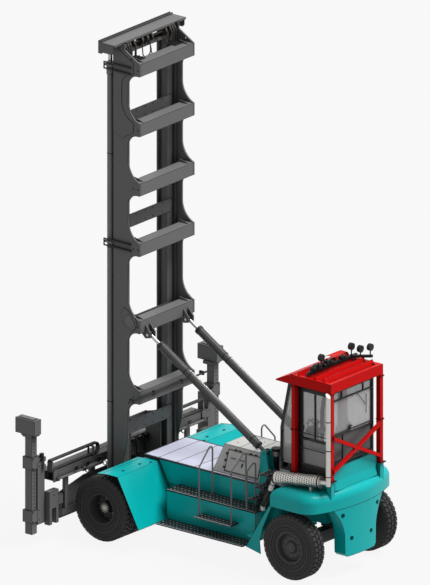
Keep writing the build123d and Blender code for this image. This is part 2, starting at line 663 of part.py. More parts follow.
# Counterweight: the block between the steered wheels, bowed like the body and flared out below it
HOLE_R = 45
HOLE_DEPTH = 60
WEIGHT_HOLES = ((550, 1330), (310, 800))  # y either side, z
with BuildPart() as counterweight:
    with BuildSketch(Plane.YZ.offset(BODY_REAR - 10)) as block_face:
        with BuildLine():
            for sign in (1, -1):
                Line((0, WEIGHT_BOTTOM), (sign * (WEIGHT_FOOT_HALF - 60), WEIGHT_BOTTOM))
                Polyline((sign * (WEIGHT_FOOT_HALF - 60), WEIGHT_BOTTOM), (sign * WEIGHT_FOOT_HALF, WEIGHT_BOTTOM + 60),
                         (sign * (WEIGHT_FOOT_HALF + 10), 900))
                ThreePointArc((sign * (WEIGHT_FOOT_HALF + 10), 900), (sign * (WEIGHT_FOOT_HALF + 95), 1180),
                              (sign * (WEIGHT_FOOT_HALF + WEIGHT_FLARE), BODY_BOTTOM - 30))
                Polyline((sign * (WEIGHT_FOOT_HALF + WEIGHT_FLARE), BODY_BOTTOM - 30),
                         (sign * (WEIGHT_FOOT_HALF + WEIGHT_FLARE), BODY_BOTTOM), (0, BODY_BOTTOM))
        make_face()
    extrude(block_face.sketch, amount=WEIGHT_FRONT - BODY_REAR + 10)
    extrude(body_plan(0, 0), amount=BODY_BOTTOM, mode=Mode.INTERSECT)
    for y, z in WEIGHT_HOLES:
        for sign in (1, -1):
            bow = BODY_BOW * (y / BODY_HALF) ** 2
            rod_between((BODY_REAR - 20, sign * y, z), (BODY_REAR + bow + HOLE_DEPTH, sign * y, z), HOLE_R,
                        mode=Mode.SUBTRACT)
save(counterweight, "counterweight")

# Cab: floor, lower walls, posts and roof round an open space, with the door's hinge barrels
HINGE_X = DOOR_REAR - 5
HINGE_Y = CAB_LEFT + 16
HINGE_R = 14
HINGE_LENGTH = 60
NOSE_RAKE = 200
NOSE_Z = 2950
HINGE_LEVELS = (CAB_FLOOR + 250, CAB_FLOOR + 1500)
CEILING = CAB_ROOF - CAB_ROOF_PLATE
BAND_Z = CEILING - 150
REAR_SILL = CAB_FLOOR + 330
with BuildPart() as cab_frame:
    block((CAB_REAR, CAB_FRONT), (CAB_RIGHT, CAB_LEFT), (CAB_FLOOR - 50, CAB_FLOOR))
    block((CAB_REAR, CAB_FRONT - NOSE_RAKE), (CAB_RIGHT, CAB_LEFT), (CEILING, CAB_ROOF))
    block((CAB_REAR, CAB_REAR + 40), (CAB_RIGHT, CAB_LEFT), (CAB_FLOOR, REAR_SILL))
    # bars across the rear window, with two short ones over the upper
    block((CAB_REAR, CAB_REAR + 30), (CAB_RIGHT, CAB_LEFT), (BAND_Z - 30, BAND_Z))
    for y in (CAB_LEFT - 330, CAB_RIGHT + 330):
        block((CAB_REAR, CAB_REAR + 30), (y - 12, y + 12), (BAND_Z, CEILING))
    block((CAB_REAR, CAB_FRONT - NOSE_RAKE), (CAB_RIGHT, CAB_RIGHT + 40), (CAB_FLOOR, CAB_SILL))
    block((DOOR_FRONT + DOOR_GAP, CAB_FRONT - NOSE_RAKE), (CAB_LEFT - 40, CAB_LEFT), (CAB_FLOOR, CAB_SILL - 200))
    block((CAB_REAR, DOOR_FRONT + DOOR_GAP), (CAB_LEFT - 40, CAB_LEFT), (CAB_FLOOR, DOOR_BOTTOM - DOOR_GAP))
    for x, y in (
        (CAB_REAR, CAB_LEFT - CAB_POST),
        (CAB_REAR, CAB_RIGHT),
        (DOOR_FRONT + DOOR_GAP, CAB_LEFT - CAB_POST),
        (DOOR_FRONT + DOOR_GAP, CAB_RIGHT),
    ):
        block((x, x + CAB_POST), (y, y + CAB_POST), (CAB_FLOOR, CEILING))
    # raked front posts
    for y in (CAB_LEFT - CAB_POST, CAB_RIGHT):
        side_plate((
            (CAB_FRONT - CAB_POST, CAB_FLOOR),
            (CAB_FRONT, CAB_FLOOR),
            (CAB_FRONT, NOSE_Z),
            (CAB_FRONT - NOSE_RAKE, CEILING),
            (CAB_FRONT - NOSE_RAKE - CAB_POST, CEILING),
            (CAB_FRONT - CAB_POST, NOSE_Z),
        ), (y, y + CAB_POST))
    block((CAB_FRONT - 40, CAB_FRONT), (CAB_RIGHT, CAB_LEFT), (CAB_FLOOR, CAB_FLOOR + 120))
    block((BODY_FRONT, CAB_FRONT - 40), (-360, 360), (FRAME_TOP, CAB_FLOOR - 50))
    for z in HINGE_LEVELS:
        rod_between((HINGE_X, HINGE_Y, z), (HINGE_X, HINGE_Y, z + HINGE_LENGTH), HINGE_R)
        block((CAB_REAR + 10, HINGE_X), (CAB_LEFT, HINGE_Y), (z, z + HINGE_LENGTH))
    # grab rail and mirror beside the door
    tube_run([(CAB_FRONT - 70, CAB_LEFT - 5, CAB_FLOOR + 150), (CAB_FRONT - 70, CAB_LEFT + 60, CAB_FLOOR + 150),
              (CAB_FRONT - 70, CAB_LEFT + 60, NOSE_Z - 60), (CAB_FRONT - 70, CAB_LEFT - 5, NOSE_Z - 60)], 15, 25)
save(cab_frame, "cab_frame")

with BuildPart() as cab_glass:
    # rear, raked front, right and front left panes
    for low, high in ((REAR_SILL, BAND_Z - 30), (BAND_Z, CEILING)):
        block((CAB_REAR + 31, CAB_REAR + 31 + GLASS), (CAB_RIGHT + CAB_POST, CAB_LEFT - CAB_POST), (low, high))
    side_plate((
        (CAB_FRONT - 12 - GLASS, CAB_FLOOR + 120),
        (CAB_FRONT - 12, CAB_FLOOR + 120),
        (CAB_FRONT - 12, NOSE_Z),
        (CAB_FRONT - NOSE_RAKE - 12, CEILING),
        (CAB_FRONT - NOSE_RAKE - 12 - GLASS, CEILING),
        (CAB_FRONT - 12 - GLASS, NOSE_Z),
    ), (CAB_RIGHT + CAB_POST, CAB_LEFT - CAB_POST))
    block((CAB_REAR + CAB_POST, DOOR_FRONT + DOOR_GAP), (CAB_RIGHT + 12, CAB_RIGHT + 12 + GLASS),
          (CAB_SILL, CEILING))
    for y, sill in ((CAB_RIGHT + 12, CAB_SILL), (CAB_LEFT - 12 - GLASS, CAB_SILL - 200)):
        side_plate((
            (DOOR_FRONT + DOOR_GAP + CAB_POST, sill),
            (CAB_FRONT - CAB_POST, sill),
            (CAB_FRONT - CAB_POST, NOSE_Z),
            (CAB_FRONT - NOSE_RAKE - CAB_POST, CEILING),
            (DOOR_FRONT + DOOR_GAP + CAB_POST, CEILING),
        ), (y, y + GLASS))
save(cab_glass, "cab_glass")

# Cab door: a frame with a middle bar, hinged at its rear edge
DOOR_TOP = CEILING - DOOR_GAP
DOOR_BAR_Z = CAB_FLOOR + 700
DOOR_FRAME = 55
DOOR_MIDDLE = (DOOR_FRONT + DOOR_REAR) / 2
with BuildPart() as cab_door:
    block((DOOR_REAR, DOOR_FRONT), (CAB_LEFT - DOOR_THICK, CAB_LEFT), (DOOR_BOTTOM, DOOR_TOP))
    for low, high in ((DOOR_BOTTOM + DOOR_FRAME, DOOR_BAR_Z), (DOOR_BAR_Z + DOOR_FRAME, DOOR_TOP - DOOR_FRAME)):
        block((DOOR_REAR + DOOR_FRAME, DOOR_FRONT - DOOR_FRAME), (CAB_LEFT - DOOR_THICK - 1, CAB_LEFT + 1), (low, high),
              mode=Mode.SUBTRACT)
    # the bar between the two panes of the upper window, and the handle
    block((DOOR_MIDDLE - 15, DOOR_MIDDLE + 15), (CAB_LEFT - DOOR_THICK, CAB_LEFT), (DOOR_BAR_Z, DOOR_TOP))
    block((DOOR_FRONT - 180, DOOR_FRONT - 40), (CAB_LEFT, CAB_LEFT + 30), (DOOR_BAR_Z + 15, DOOR_BAR_Z + 40))
    for z in HINGE_LEVELS:
        low = z + HINGE_LENGTH + RUNNING_GAP
        rod_between((HINGE_X, HINGE_Y, low), (HINGE_X, HINGE_Y, low + HINGE_LENGTH), HINGE_R)
        block((HINGE_X, DOOR_REAR + 60), (CAB_LEFT, HINGE_Y), (low, low + HINGE_LENGTH))
save(cab_door, "cab_door")

with BuildPart() as cab_door_glass:
    for rear, front, low, high in (
        (DOOR_REAR + DOOR_FRAME, DOOR_FRONT - DOOR_FRAME, DOOR_BOTTOM + DOOR_FRAME, DOOR_BAR_Z),
        (DOOR_REAR + DOOR_FRAME, DOOR_MIDDLE - 15, DOOR_BAR_Z + DOOR_FRAME, DOOR_TOP - DOOR_FRAME),
        (DOOR_MIDDLE + 15, DOOR_FRONT - DOOR_FRAME, DOOR_BAR_Z + DOOR_FRAME, DOOR_TOP - DOOR_FRAME),
    ):
        block((rear, front), (CAB_LEFT - 28, CAB_LEFT - 28 + GLASS), (low, high))
save(cab_door_glass, "cab_door_glass")

SEAT_X = REAR_AXLE - 103
SEAT_Y = 30
with BuildPart() as driver_seat:
    block((SEAT_X - 180, SEAT_X + 180), (SEAT_Y - 160, SEAT_Y + 160), (CAB_FLOOR, CAB_FLOOR + 330))
    block((SEAT_X - 250, SEAT_X + 260), (SEAT_Y - 250, SEAT_Y + 250), (CAB_FLOOR + 330, CAB_FLOOR + 450))
    side_plate((
        (SEAT_X - 250, CAB_FLOOR + 450),
        (SEAT_X - 130, CAB_FLOOR + 450),
        (SEAT_X - 220, CAB_FLOOR + 1150),
        (SEAT_X - 310, CAB_FLOOR + 1150),
    ), (SEAT_Y - 240, SEAT_Y + 240))
save(driver_seat, "driver_seat")

CONSOLE_X = REAR_AXLE + 437
with BuildPart() as steering_console:
    side_plate((
        (CONSOLE_X - 60, CAB_FLOOR),
        (CONSOLE_X + 140, CAB_FLOOR),
        (CONSOLE_X + 60, CAB_FLOOR + 720),
        (CONSOLE_X - 60, CAB_FLOOR + 680),
    ), (SEAT_Y - 130, SEAT_Y + 130))
    with Locations(Location((CONSOLE_X - 90, SEAT_Y, CAB_FLOOR + 760), (0, -30, 0))):
        Torus(190, 14)
        Cylinder(22, 220)
        Box(370, 30, 16)
save(steering_console, "steering_console")

# Guard frame: four posts with bolted joints, roof rails, upright slats, a drooping visor and a crossed brace
JOINT_Z = 3010
JOINT_PLATE = 24
VISOR_REACH = 460
VISOR_DROP = 180
SLATS = (0.12, 0.36, 0.60, 0.84)  # share of the roof from its rear
with BuildPart() as fops_frame:
    half = GUARD_TUBE / 2
    for sign in (1, -1):
        for x in (GUARD_FRONT, GUARD_REAR):
            block((x - half, x + half), (sign * (GUARD_HALF - half), sign * (GUARD_HALF + half)),
                  (POST_FOOT, GUARD_TOP))
            for z in (JOINT_Z, GUARD_TOP - GUARD_RAIL - 45, POST_FOOT):
                block((x - half - 16, x + half + 16), (sign * (GUARD_HALF - half + 1), sign * (GUARD_HALF + half + 16)),
                      (z, z + JOINT_PLATE))
        block((GUARD_REAR, GUARD_FRONT), (sign * (GUARD_HALF - half), sign * (GUARD_HALF + half)),
              (GUARD_TOP - GUARD_RAIL, GUARD_TOP))
        side_plate((
            (GUARD_FRONT + half, GUARD_TOP - GUARD_RAIL),
            (GUARD_FRONT + half, GUARD_TOP + 10),
            (GUARD_FRONT + VISOR_REACH, GUARD_TOP - VISOR_DROP),
            (GUARD_FRONT + VISOR_REACH, GUARD_TOP - VISOR_DROP - 25),
        ), (sign * (GUARD_HALF + half - 20), sign * (GUARD_HALF + half)))
    for x in (GUARD_FRONT, GUARD_REAR):
        block((x - half, x + half), (-GUARD_HALF, GUARD_HALF), (GUARD_TOP - GUARD_RAIL, GUARD_TOP))
    for share in SLATS:
        x = GUARD_REAR + share * (GUARD_FRONT - GUARD_REAR)
        side_plate((
            (x, GUARD_TOP - 90),
            (x + 20, GUARD_TOP - 90),
            (x + 90, GUARD_TOP + 60),
            (x + 70, GUARD_TOP + 60),
        ), (-GUARD_HALF, GUARD_HALF))
    side_plate((
        (GUARD_FRONT + half - 10, GUARD_TOP - 15),
        (GUARD_FRONT + half - 10, GUARD_TOP + 10),
        (GUARD_FRONT + VISOR_REACH, GUARD_TOP - VISOR_DROP),
        (GUARD_FRONT + VISOR_REACH, GUARD_TOP - VISOR_DROP - 25),
    ), (-(GUARD_HALF + half), GUARD_HALF + half))
    brace_x = GUARD_REAR - half
    for start, end in (
        ((-GUARD_HALF, 2990), (GUARD_HALF, 2310)),
        ((GUARD_HALF, 3030), (-GUARD_HALF, 2240)),
    ):
        cross_plate((
            (start[0], start[1] - 45),
            (start[0], start[1] + 45),
            (end[0], end[1] + 45),
            (end[0], end[1] - 45),
        ), (brace_x - 40, brace_x + 10))
save(fops_frame, "fops_frame")

# Work lamps on a bar across the guard's roof, with an outrigger at its right end
LAMP_R = 75
LAMP_DEPTH = 70
LAMP_BAR_X = REAR_AXLE - 43
LAMP_BAR = 50
LAMP_BAR_Z = GUARD_TOP + 60
LAMPS = (
    # x from the bar, y, z of the lamp's middle
    (0, 347, 4502),
    (0, 530, 4332),
    (0, -620, 4484),
    (-120, -760, 4420),
    (-280, -880, 4459),
)
with BuildPart() as work_lamps:
    block((LAMP_BAR_X - LAMP_BAR / 2, LAMP_BAR_X + LAMP_BAR / 2), (-GUARD_HALF, GUARD_HALF),
          (LAMP_BAR_Z, LAMP_BAR_Z + LAMP_BAR))
    with BuildSketch(Plane.XY.offset(LAMP_BAR_Z)) as outrigger:
        with BuildLine():
            Polyline((LAMP_BAR_X + 25, -640), (LAMP_BAR_X - 320, -920), (LAMP_BAR_X - 345, -870),
                     (LAMP_BAR_X - 25, -600), close=True)
        make_face()
    extrude(outrigger.sketch, amount=LAMP_BAR)
    for x, y, z in LAMPS:
        rod_between((LAMP_BAR_X + x, y, LAMP_BAR_Z + LAMP_BAR - 5), (LAMP_BAR_X + x, y, z), 14)
        rod_between((LAMP_BAR_X + x - LAMP_DEPTH / 2, y, z), (LAMP_BAR_X + x + LAMP_DEPTH / 2, y, z), LAMP_R)
save(work_lamps, "work_lamps")

# Exhaust: a muffler set askew along the left side, its inlet pipe and a tall stack with an oblique mouth
STACK_X = REAR_AXLE - 693
STACK_Y = 930
STACK_TOP = 4020
STACK_R = 50
INLET_R = 55
with BuildPart() as exhaust:
    rod_between(MUFFLER_FRONT, MUFFLER_REAR, MUFFLER_R)
    rod_between((MUFFLER_FRONT[0] - 20, MUFFLER_FRONT[1], MUFFLER_FRONT[2]), (REAR_AXLE + 1057, 860, BOX_TOP + STEP_PLATE + 90),
                INLET_R)
    rod_between((REAR_AXLE + 1057, 860, BOX_TOP + STEP_PLATE), (REAR_AXLE + 1057, 860, BOX_TOP + STEP_PLATE + 110), INLET_R)
    rod_between((MUFFLER_REAR[0] + 20, MUFFLER_REAR[1] + 35, MUFFLER_REAR[2]), (STACK_X, STACK_Y, MUFFLER_REAR[2] + 20), STACK_R)
    rod_between((STACK_X, STACK_Y, MUFFLER_REAR[2] - 30), (STACK_X, STACK_Y, STACK_TOP), STACK_R)
    side_plate((
        (STACK_X - STACK_R - 5, STACK_TOP - 90),
        (STACK_X + STACK_R + 5, STACK_TOP + 5),
        (STACK_X - STACK_R - 5, STACK_TOP + 5),
    ), (STACK_Y - STACK_R - 5, STACK_Y + STACK_R + 5), mode=Mode.SUBTRACT)
    # brackets down to the body
    for share in (0.15, 0.8):
        x = MUFFLER_FRONT[0] + share * (MUFFLER_REAR[0] - MUFFLER_FRONT[0])
        y = MUFFLER_FRONT[1] + share * (MUFFLER_REAR[1] - MUFFLER_FRONT[1])
        z = MUFFLER_FRONT[2] + share * (MUFFLER_REAR[2] - MUFFLER_FRONT[2])
        block((x - 25, x + 25), (y - 60, y + 60), (BODY_TOP, z))
save(exhaust, "exhaust")

# Air intake: a pipe up from the engine bay with a round cap
INTAKE_X = REAR_AXLE + 1107
INTAKE_Y = 370
with BuildPart() as air_intake:
    rod_between((INTAKE_X, INTAKE_Y, DECK_TOP), (INTAKE_X, INTAKE_Y, 2200), 70)
    rod_between((INTAKE_X, INTAKE_Y, 2180), (INTAKE_X, INTAKE_Y, 2290), 130)
    rod_between((INTAKE_X, INTAKE_Y, 2290), (INTAKE_X, INTAKE_Y, 2330), 95)
save(air_intake, "air_intake")

# Outer mast: each upright is a scalloped side plate with two flanges that the inner stage runs between
BAND = 160
DOUBLER = 8
DOUBLER_BOTTOM = 8300
LIFTING_HOLE_R = 25


def upright_outline(shift):
    """Draw the side plate's outline with its rear edge, scalloped between the beams, moved forward by shift."""
    waist_x = WAIST_X + shift
    back = BEAM_BACK + shift
    head_x = HEAD_BACK - 60 + shift
    top_beam = OUTER_BEAM_TOPS[0]
    with BuildSketch(Plane.XZ) as drawn:
        with BuildLine():
            Polyline((OUTER_BACK - 20 + shift, OUTER_BOTTOM), (OUTER_FRONT, OUTER_BOTTOM), (OUTER_FRONT, OUTER_TOP),
                     (head_x, OUTER_TOP), (head_x, top_beam + NECK_RISE), (back, top_beam))
            for top, below in zip(OUTER_BEAM_TOPS, OUTER_BEAM_TOPS[1:]):
                underside = top - BEAM_HEIGHT
                Polyline((back, top), (back, underside), (waist_x - WAIST_R, underside))
                RadiusArc((waist_x - WAIST_R, underside), (waist_x, underside - WAIST_R), WAIST_R)
                Line((waist_x, underside - WAIST_R), (waist_x, below + SWEEP_RISE))
                TangentArc((waist_x, below + SWEEP_RISE), (back, below), tangent=(0, -1))
            underside = OUTER_BEAM_TOPS[-1] - BEAM_HEIGHT
            Polyline((back, OUTER_BEAM_TOPS[-1]), (back, underside), (waist_x - WAIST_R, underside))
            RadiusArc((waist_x - WAIST_R, underside), (waist_x, underside - WAIST_R), WAIST_R)
            Polyline((waist_x, underside - WAIST_R), (waist_x, 1900), (OUTER_BACK - 20 + shift, 1500),
                     (OUTER_BACK - 20 + shift, OUTER_BOTTOM))
        make_face()
    return drawn.sketch


web_shape = upright_outline(0)
inner_shape = upright_outline(BAND)
with BuildPart() as outer_mast_uprights:
    for sign in (1, -1):
        outer_face = max(sign * OUTER_Y, sign * (OUTER_Y - OUTER_WEB))
        with Locations((0, outer_face, 0)):
            add(extrude(web_shape, amount=OUTER_WEB, mode=Mode.PRIVATE))
        # the raised doubler ahead of the rim, over the upper bays
        doubler = extrude(inner_shape, amount=DOUBLER, mode=Mode.PRIVATE)
        with BuildSketch(Plane.XZ) as kept:
            with BuildLine():
                Polyline((BEAM_BACK, OUTER_TOP), (OUTER_FRONT, OUTER_TOP), (OUTER_FRONT, DOUBLER_BOTTOM + 130),
                         (OUTER_BACK, DOUBLER_BOTTOM), (BEAM_BACK, DOUBLER_BOTTOM + 280), close=True)
            make_face()
        keep = extrude(kept.sketch, amount=400, both=True, mode=Mode.PRIVATE)
        with Locations((0, sign * OUTER_Y + (DOUBLER if sign > 0 else 0), 0)):
            add(doubler & keep)
        for back in (OUTER_BACK, OUTER_FRONT - OUTER_FLANGE):
            block((back, back + OUTER_FLANGE), (sign * OUTER_FLANGE_IN, sign * (OUTER_Y - OUTER_WEB / 2)),
                  (OUTER_BOTTOM, HEAD_BOTTOM - 80))
        block((OUTER_FRONT - 10, LIFT_X + LIFT_R), (sign * (LIFT_Y - 90), sign * (LIFT_Y + 90)),
              (OUTER_BOTTOM, OUTER_BOTTOM + 40))
        # lozenge doubler beside the tilt cylinder's bracket
        side_plate((
            (BEAM_BACK + 60, TILT_BEAM_TOP - 100),
            (BEAM_BACK + 110, TILT_BEAM_TOP + 60),
            (OUTER_BACK - 30, TILT_BEAM_TOP + 230),
            (OUTER_BACK + 60, TILT_BEAM_TOP + 80),
            (OUTER_BACK + 20, TILT_BEAM_TOP - 110),
            (BEAM_BACK + 200, TILT_BEAM_TOP - 280),
        ), (sign * OUTER_Y, sign * (OUTER_Y + DOUBLER)))
        with Locations((MAST_PIVOT_X, sign * OUTER_Y, MAST_PIVOT_Z)):
            Cylinder(PIVOT_R + 0.05, 400, rotation=(90, 0, 0), mode=Mode.SUBTRACT)
        with Locations((FRONT_AXLE, sign * OUTER_Y, OUTER_BEAM_TOPS[0] + 60)):
            Cylinder(LIFTING_HOLE_R, 400, rotation=(90, 0, 0), mode=Mode.SUBTRACT)
save(outer_mast_uprights, "outer_mast_uprights")

with BuildPart() as outer_mast_crossbeams:
    for top in OUTER_BEAM_TOPS:
        block((BEAM_BACK, BEAM_FRONT), (-(OUTER_Y - OUTER_WEB), OUTER_Y - OUTER_WEB), (top - BEAM_HEIGHT, top))
        # upright gussets near the beam's ends
        for sign in (1, -1):
            side_plate(((BEAM_BACK + 10, top), (BEAM_FRONT, top), (BEAM_FRONT, top + 60)), (sign * 715, sign * 735))
    tilt_beam = TILT_BEAM_TOP
    for sign in (1, -1):
        for near, far in ((EAR_IN, EAR_IN + EAR), (EAR_OUT - EAR, EAR_OUT)):
            side_plate((
                (BEAM_BACK + 150, tilt_beam - BEAM_HEIGHT + 10),
                (BEAM_BACK, tilt_beam - BEAM_HEIGHT + 160),
                (TILT_UPPER_X - 80, TILT_UPPER_Z + 60),
                (TILT_UPPER_X - 80, TILT_UPPER_Z - 50),
                (TILT_UPPER_X + 50, TILT_UPPER_Z - 80),
            ), (sign * near, sign * far))
        with Locations((TILT_UPPER_X, sign * TILT_Y, TILT_UPPER_Z)):
            Cylinder(TILT_PIN_R + TILT_EYE_PLAY, 300, rotation=(90, 0, 0), mode=Mode.SUBTRACT)
save(outer_mast_crossbeams, "outer_mast_crossbeams")

with BuildPart() as lift_barrels:
    for sign in (1, -1):
        rod_between((LIFT_X, sign * LIFT_Y, OUTER_BOTTOM + 40), (LIFT_X, sign * LIFT_Y, LIFT_TOP), LIFT_R)
        rod_between((LIFT_X, sign * LIFT_Y, LIFT_TOP - LIFT_GLAND), (LIFT_X, sign * LIFT_Y, LIFT_TOP), LIFT_GLAND_R)
        rod_between((LIFT_X, sign * LIFT_Y, LIFT_TOP - LIFT_STROKE - 300), (LIFT_X, sign * LIFT_Y, LIFT_TOP + 1),
                    LIFT_ROD_R + ROD_GAP, mode=Mode.SUBTRACT)
        for z in (LIFT_TOP - 70, LIFT_TOP - 3850):
            block((OUTER_FRONT, LIFT_X + LIFT_R + 20), (sign * (LIFT_Y - 20), sign * (LIFT_Y + LIFT_R + 25)), (z, z + 40))
            rod_between((LIFT_X, sign * LIFT_Y, z - 10), (LIFT_X, sign * LIFT_Y, z + 50), LIFT_ROD_R + ROD_GAP,
                        mode=Mode.SUBTRACT)
save(lift_barrels, "lift_barrels")

# Inner mast: an offset section inside the outer one, cross plates behind and a head over the cylinders
with BuildPart() as inner_mast_uprights:
    for sign in (1, -1):
        for back, front, near, far in (
            (INNER_BACK, INNER_BACK + INNER_FLANGE, INNER_FLANGE_IN, INNER_FLANGE_OUT),
            (INNER_BACK, INNER_FRONT, INNER_WEB_OUT - INNER_WEB, INNER_WEB_OUT),
            (INNER_FRONT - INNER_FLANGE, INNER_FRONT, INNER_LIP_IN, INNER_LIP_OUT),
        ):
            block((back, front), (sign * near, sign * far), (INNER_BOTTOM, HEAD_BOTTOM))
save(inner_mast_uprights, "inner_mast_uprights")

with BuildPart() as inner_mast_crossbeams:
    for top in INNER_BEAM_TOPS:
        block((INNER_BACK - INNER_BEAM_PLATE, INNER_BACK), (-INNER_BEAM_HALF, INNER_BEAM_HALF),
              (top - INNER_BEAM_HEIGHT, top))
save(inner_mast_crossbeams, "inner_mast_crossbeams")

with BuildPart() as mast_head:
    block((HEAD_BACK, HEAD_FRONT), (-HEAD_HALF, HEAD_HALF), (HEAD_TOP - HEAD_LIP - 25, HEAD_TOP - HEAD_LIP))
    # two upstands along the front edge and a folded lip at the rear
    for x in (HEAD_FRONT - 20, HEAD_FRONT - 80):
        block((x, x + 20), (-HEAD_HALF, HEAD_HALF), (HEAD_TOP - HEAD_LIP, HEAD_TOP))
    block((HEAD_BACK - 15, HEAD_BACK + 15), (-HEAD_HALF, HEAD_HALF), (HEAD_TOP - HEAD_LIP - 25, HEAD_TOP - HEAD_LIP))
    for near, far in ((-OUTER_FLANGE_IN, OUTER_FLANGE_IN), (OUTER_Y + 30, HEAD_HALF), (-HEAD_HALF, -OUTER_Y - 30)):
        block((HEAD_BACK - 15, HEAD_BACK + 15), (near, far), (HEAD_TOP - HEAD_LIP - 45, HEAD_TOP - HEAD_LIP))
    for sign in (1, -1):
        side_plate((
            (HEAD_BACK + 20, HEAD_TOP - HEAD_LIP),
            (HEAD_BACK + 20, HEAD_TOP - HEAD_SIDE + 40),
            (HEAD_BACK + 60, HEAD_TOP - HEAD_SIDE),
            (HEAD_FRONT - 90, HEAD_TOP - HEAD_SIDE),
            (HEAD_FRONT - 90, HEAD_TOP - HEAD_SIDE - 30),
            (HEAD_FRONT, HEAD_TOP - HEAD_SIDE - 30),
            (HEAD_FRONT, HEAD_TOP - HEAD_LIP),
        ), (sign * HEAD_HALF, sign * (HEAD_HALF - 25)))
        block((LIFT_X - 70, LIFT_X + 50), (sign * (LIFT_Y - 70), sign * (LIFT_Y + 70)),
              (HEAD_BOTTOM, HEAD_TOP - HEAD_LIP - 25))
    block((HEAD_FRONT - 25, HEAD_FRONT), (-HEAD_HALF, HEAD_HALF), (HEAD_TOP - HEAD_SIDE - 30, HEAD_TOP - HEAD_LIP))
    block((INNER_BACK, INNER_FRONT), (-INNER_LIP_OUT, INNER_LIP_OUT), (HEAD_BOTTOM, HEAD_BOTTOM + 60))
    for sign in (1, -1):
        block((INNER_BACK, INNER_FRONT), (sign * 560, sign * 600), (HEAD_BOTTOM, HEAD_TOP - HEAD_LIP - 25))
        # bearers of the sheave shaft at its outer ends
        block((SHEAVE_X - 30, HEAD_FRONT - 25), (sign * 815, sign * 835), (SHEAVE_Z - 40, HEAD_TOP - HEAD_LIP - 25))
    rod_between((SHEAVE_X, -840, SHEAVE_Z), (SHEAVE_X, 840, SHEAVE_Z), SHAFT_R + 0.05, mode=Mode.SUBTRACT)
save(mast_head, "mast_head")

# Chains: sheaves on one shaft under the head, with the chains' rear runs hanging from them
with BuildPart() as head_chains:
    rod_between((SHEAVE_X, -835, SHEAVE_Z), (SHEAVE_X, 835, SHEAVE_Z), SHAFT_R)
    for sign in (1, -1):
        for y in CHAIN_PLACES:
            rod_between((SHEAVE_X, sign * y, SHEAVE_Z), (SHEAVE_X, sign * (y + CHAIN_WIDTH), SHEAVE_Z), SHEAVE_R)
            block((SHEAVE_X - SHEAVE_R - CHAIN, SHEAVE_X - SHEAVE_R + 2), (sign * y, sign * (y + CHAIN_WIDTH)),
                  (OUTER_BEAM_TOPS[0] + 20, SHEAVE_Z))
    for y in HOSE_SHEAVES:
        rod_between((SHEAVE_X, y, SHEAVE_Z), (SHEAVE_X, y + 45, SHEAVE_Z), SHEAVE_R)
save(head_chains, "head_chains")

# Black fittings of the outer mast: clamps over the barrels, chain anchors, and the pipe on the lowest beam
with BuildPart() as mast_fittings:
    for sign in (1, -1):
        for z, face in ((LIFT_TOP - 50, OUTER_Y + DOUBLER), (LIFT_TOP - 3830, OUTER_Y)):
            for low in (z - 85, z + 50):
                block((FRONT_AXLE, OUTER_FRONT + 20), (sign * face, sign * PRONG_OUT), (low, low + 25))
                block((OUTER_FRONT, LIFT_X + LIFT_R + 25), (sign * PRONG_IN, sign * PRONG_OUT), (low, low + 25))
            block((LIFT_X + LIFT_R + 5, LIFT_X + LIFT_R + 25), (sign * PRONG_IN, sign * PRONG_OUT), (z - 85, z + 75))
        for near, far in ((480, 710), (740, 780)):
            block((BEAM_FRONT - 90, SHEAVE_X - SHEAVE_R + 15), (sign * near, sign * far),
                  (OUTER_BEAM_TOPS[0], OUTER_BEAM_TOPS[0] + 15))
        for y in (430, 1100):
            block((BEAM_BACK - 50, BEAM_BACK + (0 if y < 845 else 60)), (sign * y, sign * (y + 40)), (PIPE_Z - 40, PIPE_Z + 40))
    rod_between((BEAM_BACK - 28, -PIPE_HALF, PIPE_Z), (BEAM_BACK - 28, PIPE_HALF, PIPE_Z), PIPE_R)
save(mast_fittings, "mast_fittings")

with BuildPart() as lift_rods:
    for sign in (1, -1):
        rod_between((LIFT_X, sign * LIFT_Y, LIFT_TOP - LIFT_STROKE - 250), (LIFT_X, sign * LIFT_Y, HEAD_BOTTOM),
                    LIFT_ROD_R)
save(lift_rods, "lift_rods")

# Tilt cylinders, on a line between the tower pin and the mast bracket
TILT_LENGTH = hypot(TILT_UPPER_X - TILT_LOWER_X, TILT_UPPER_Z - TILT_LOWER_Z)
WAY_X = (TILT_UPPER_X - TILT_LOWER_X) / TILT_LENGTH
WAY_Z = (TILT_UPPER_Z - TILT_LOWER_Z) / TILT_LENGTH


def along_tilt(distance, y):
    """The point on a tilt cylinder's line that far from its lower pin."""
    return (TILT_LOWER_X + WAY_X * distance, y, TILT_LOWER_Z + WAY_Z * distance)


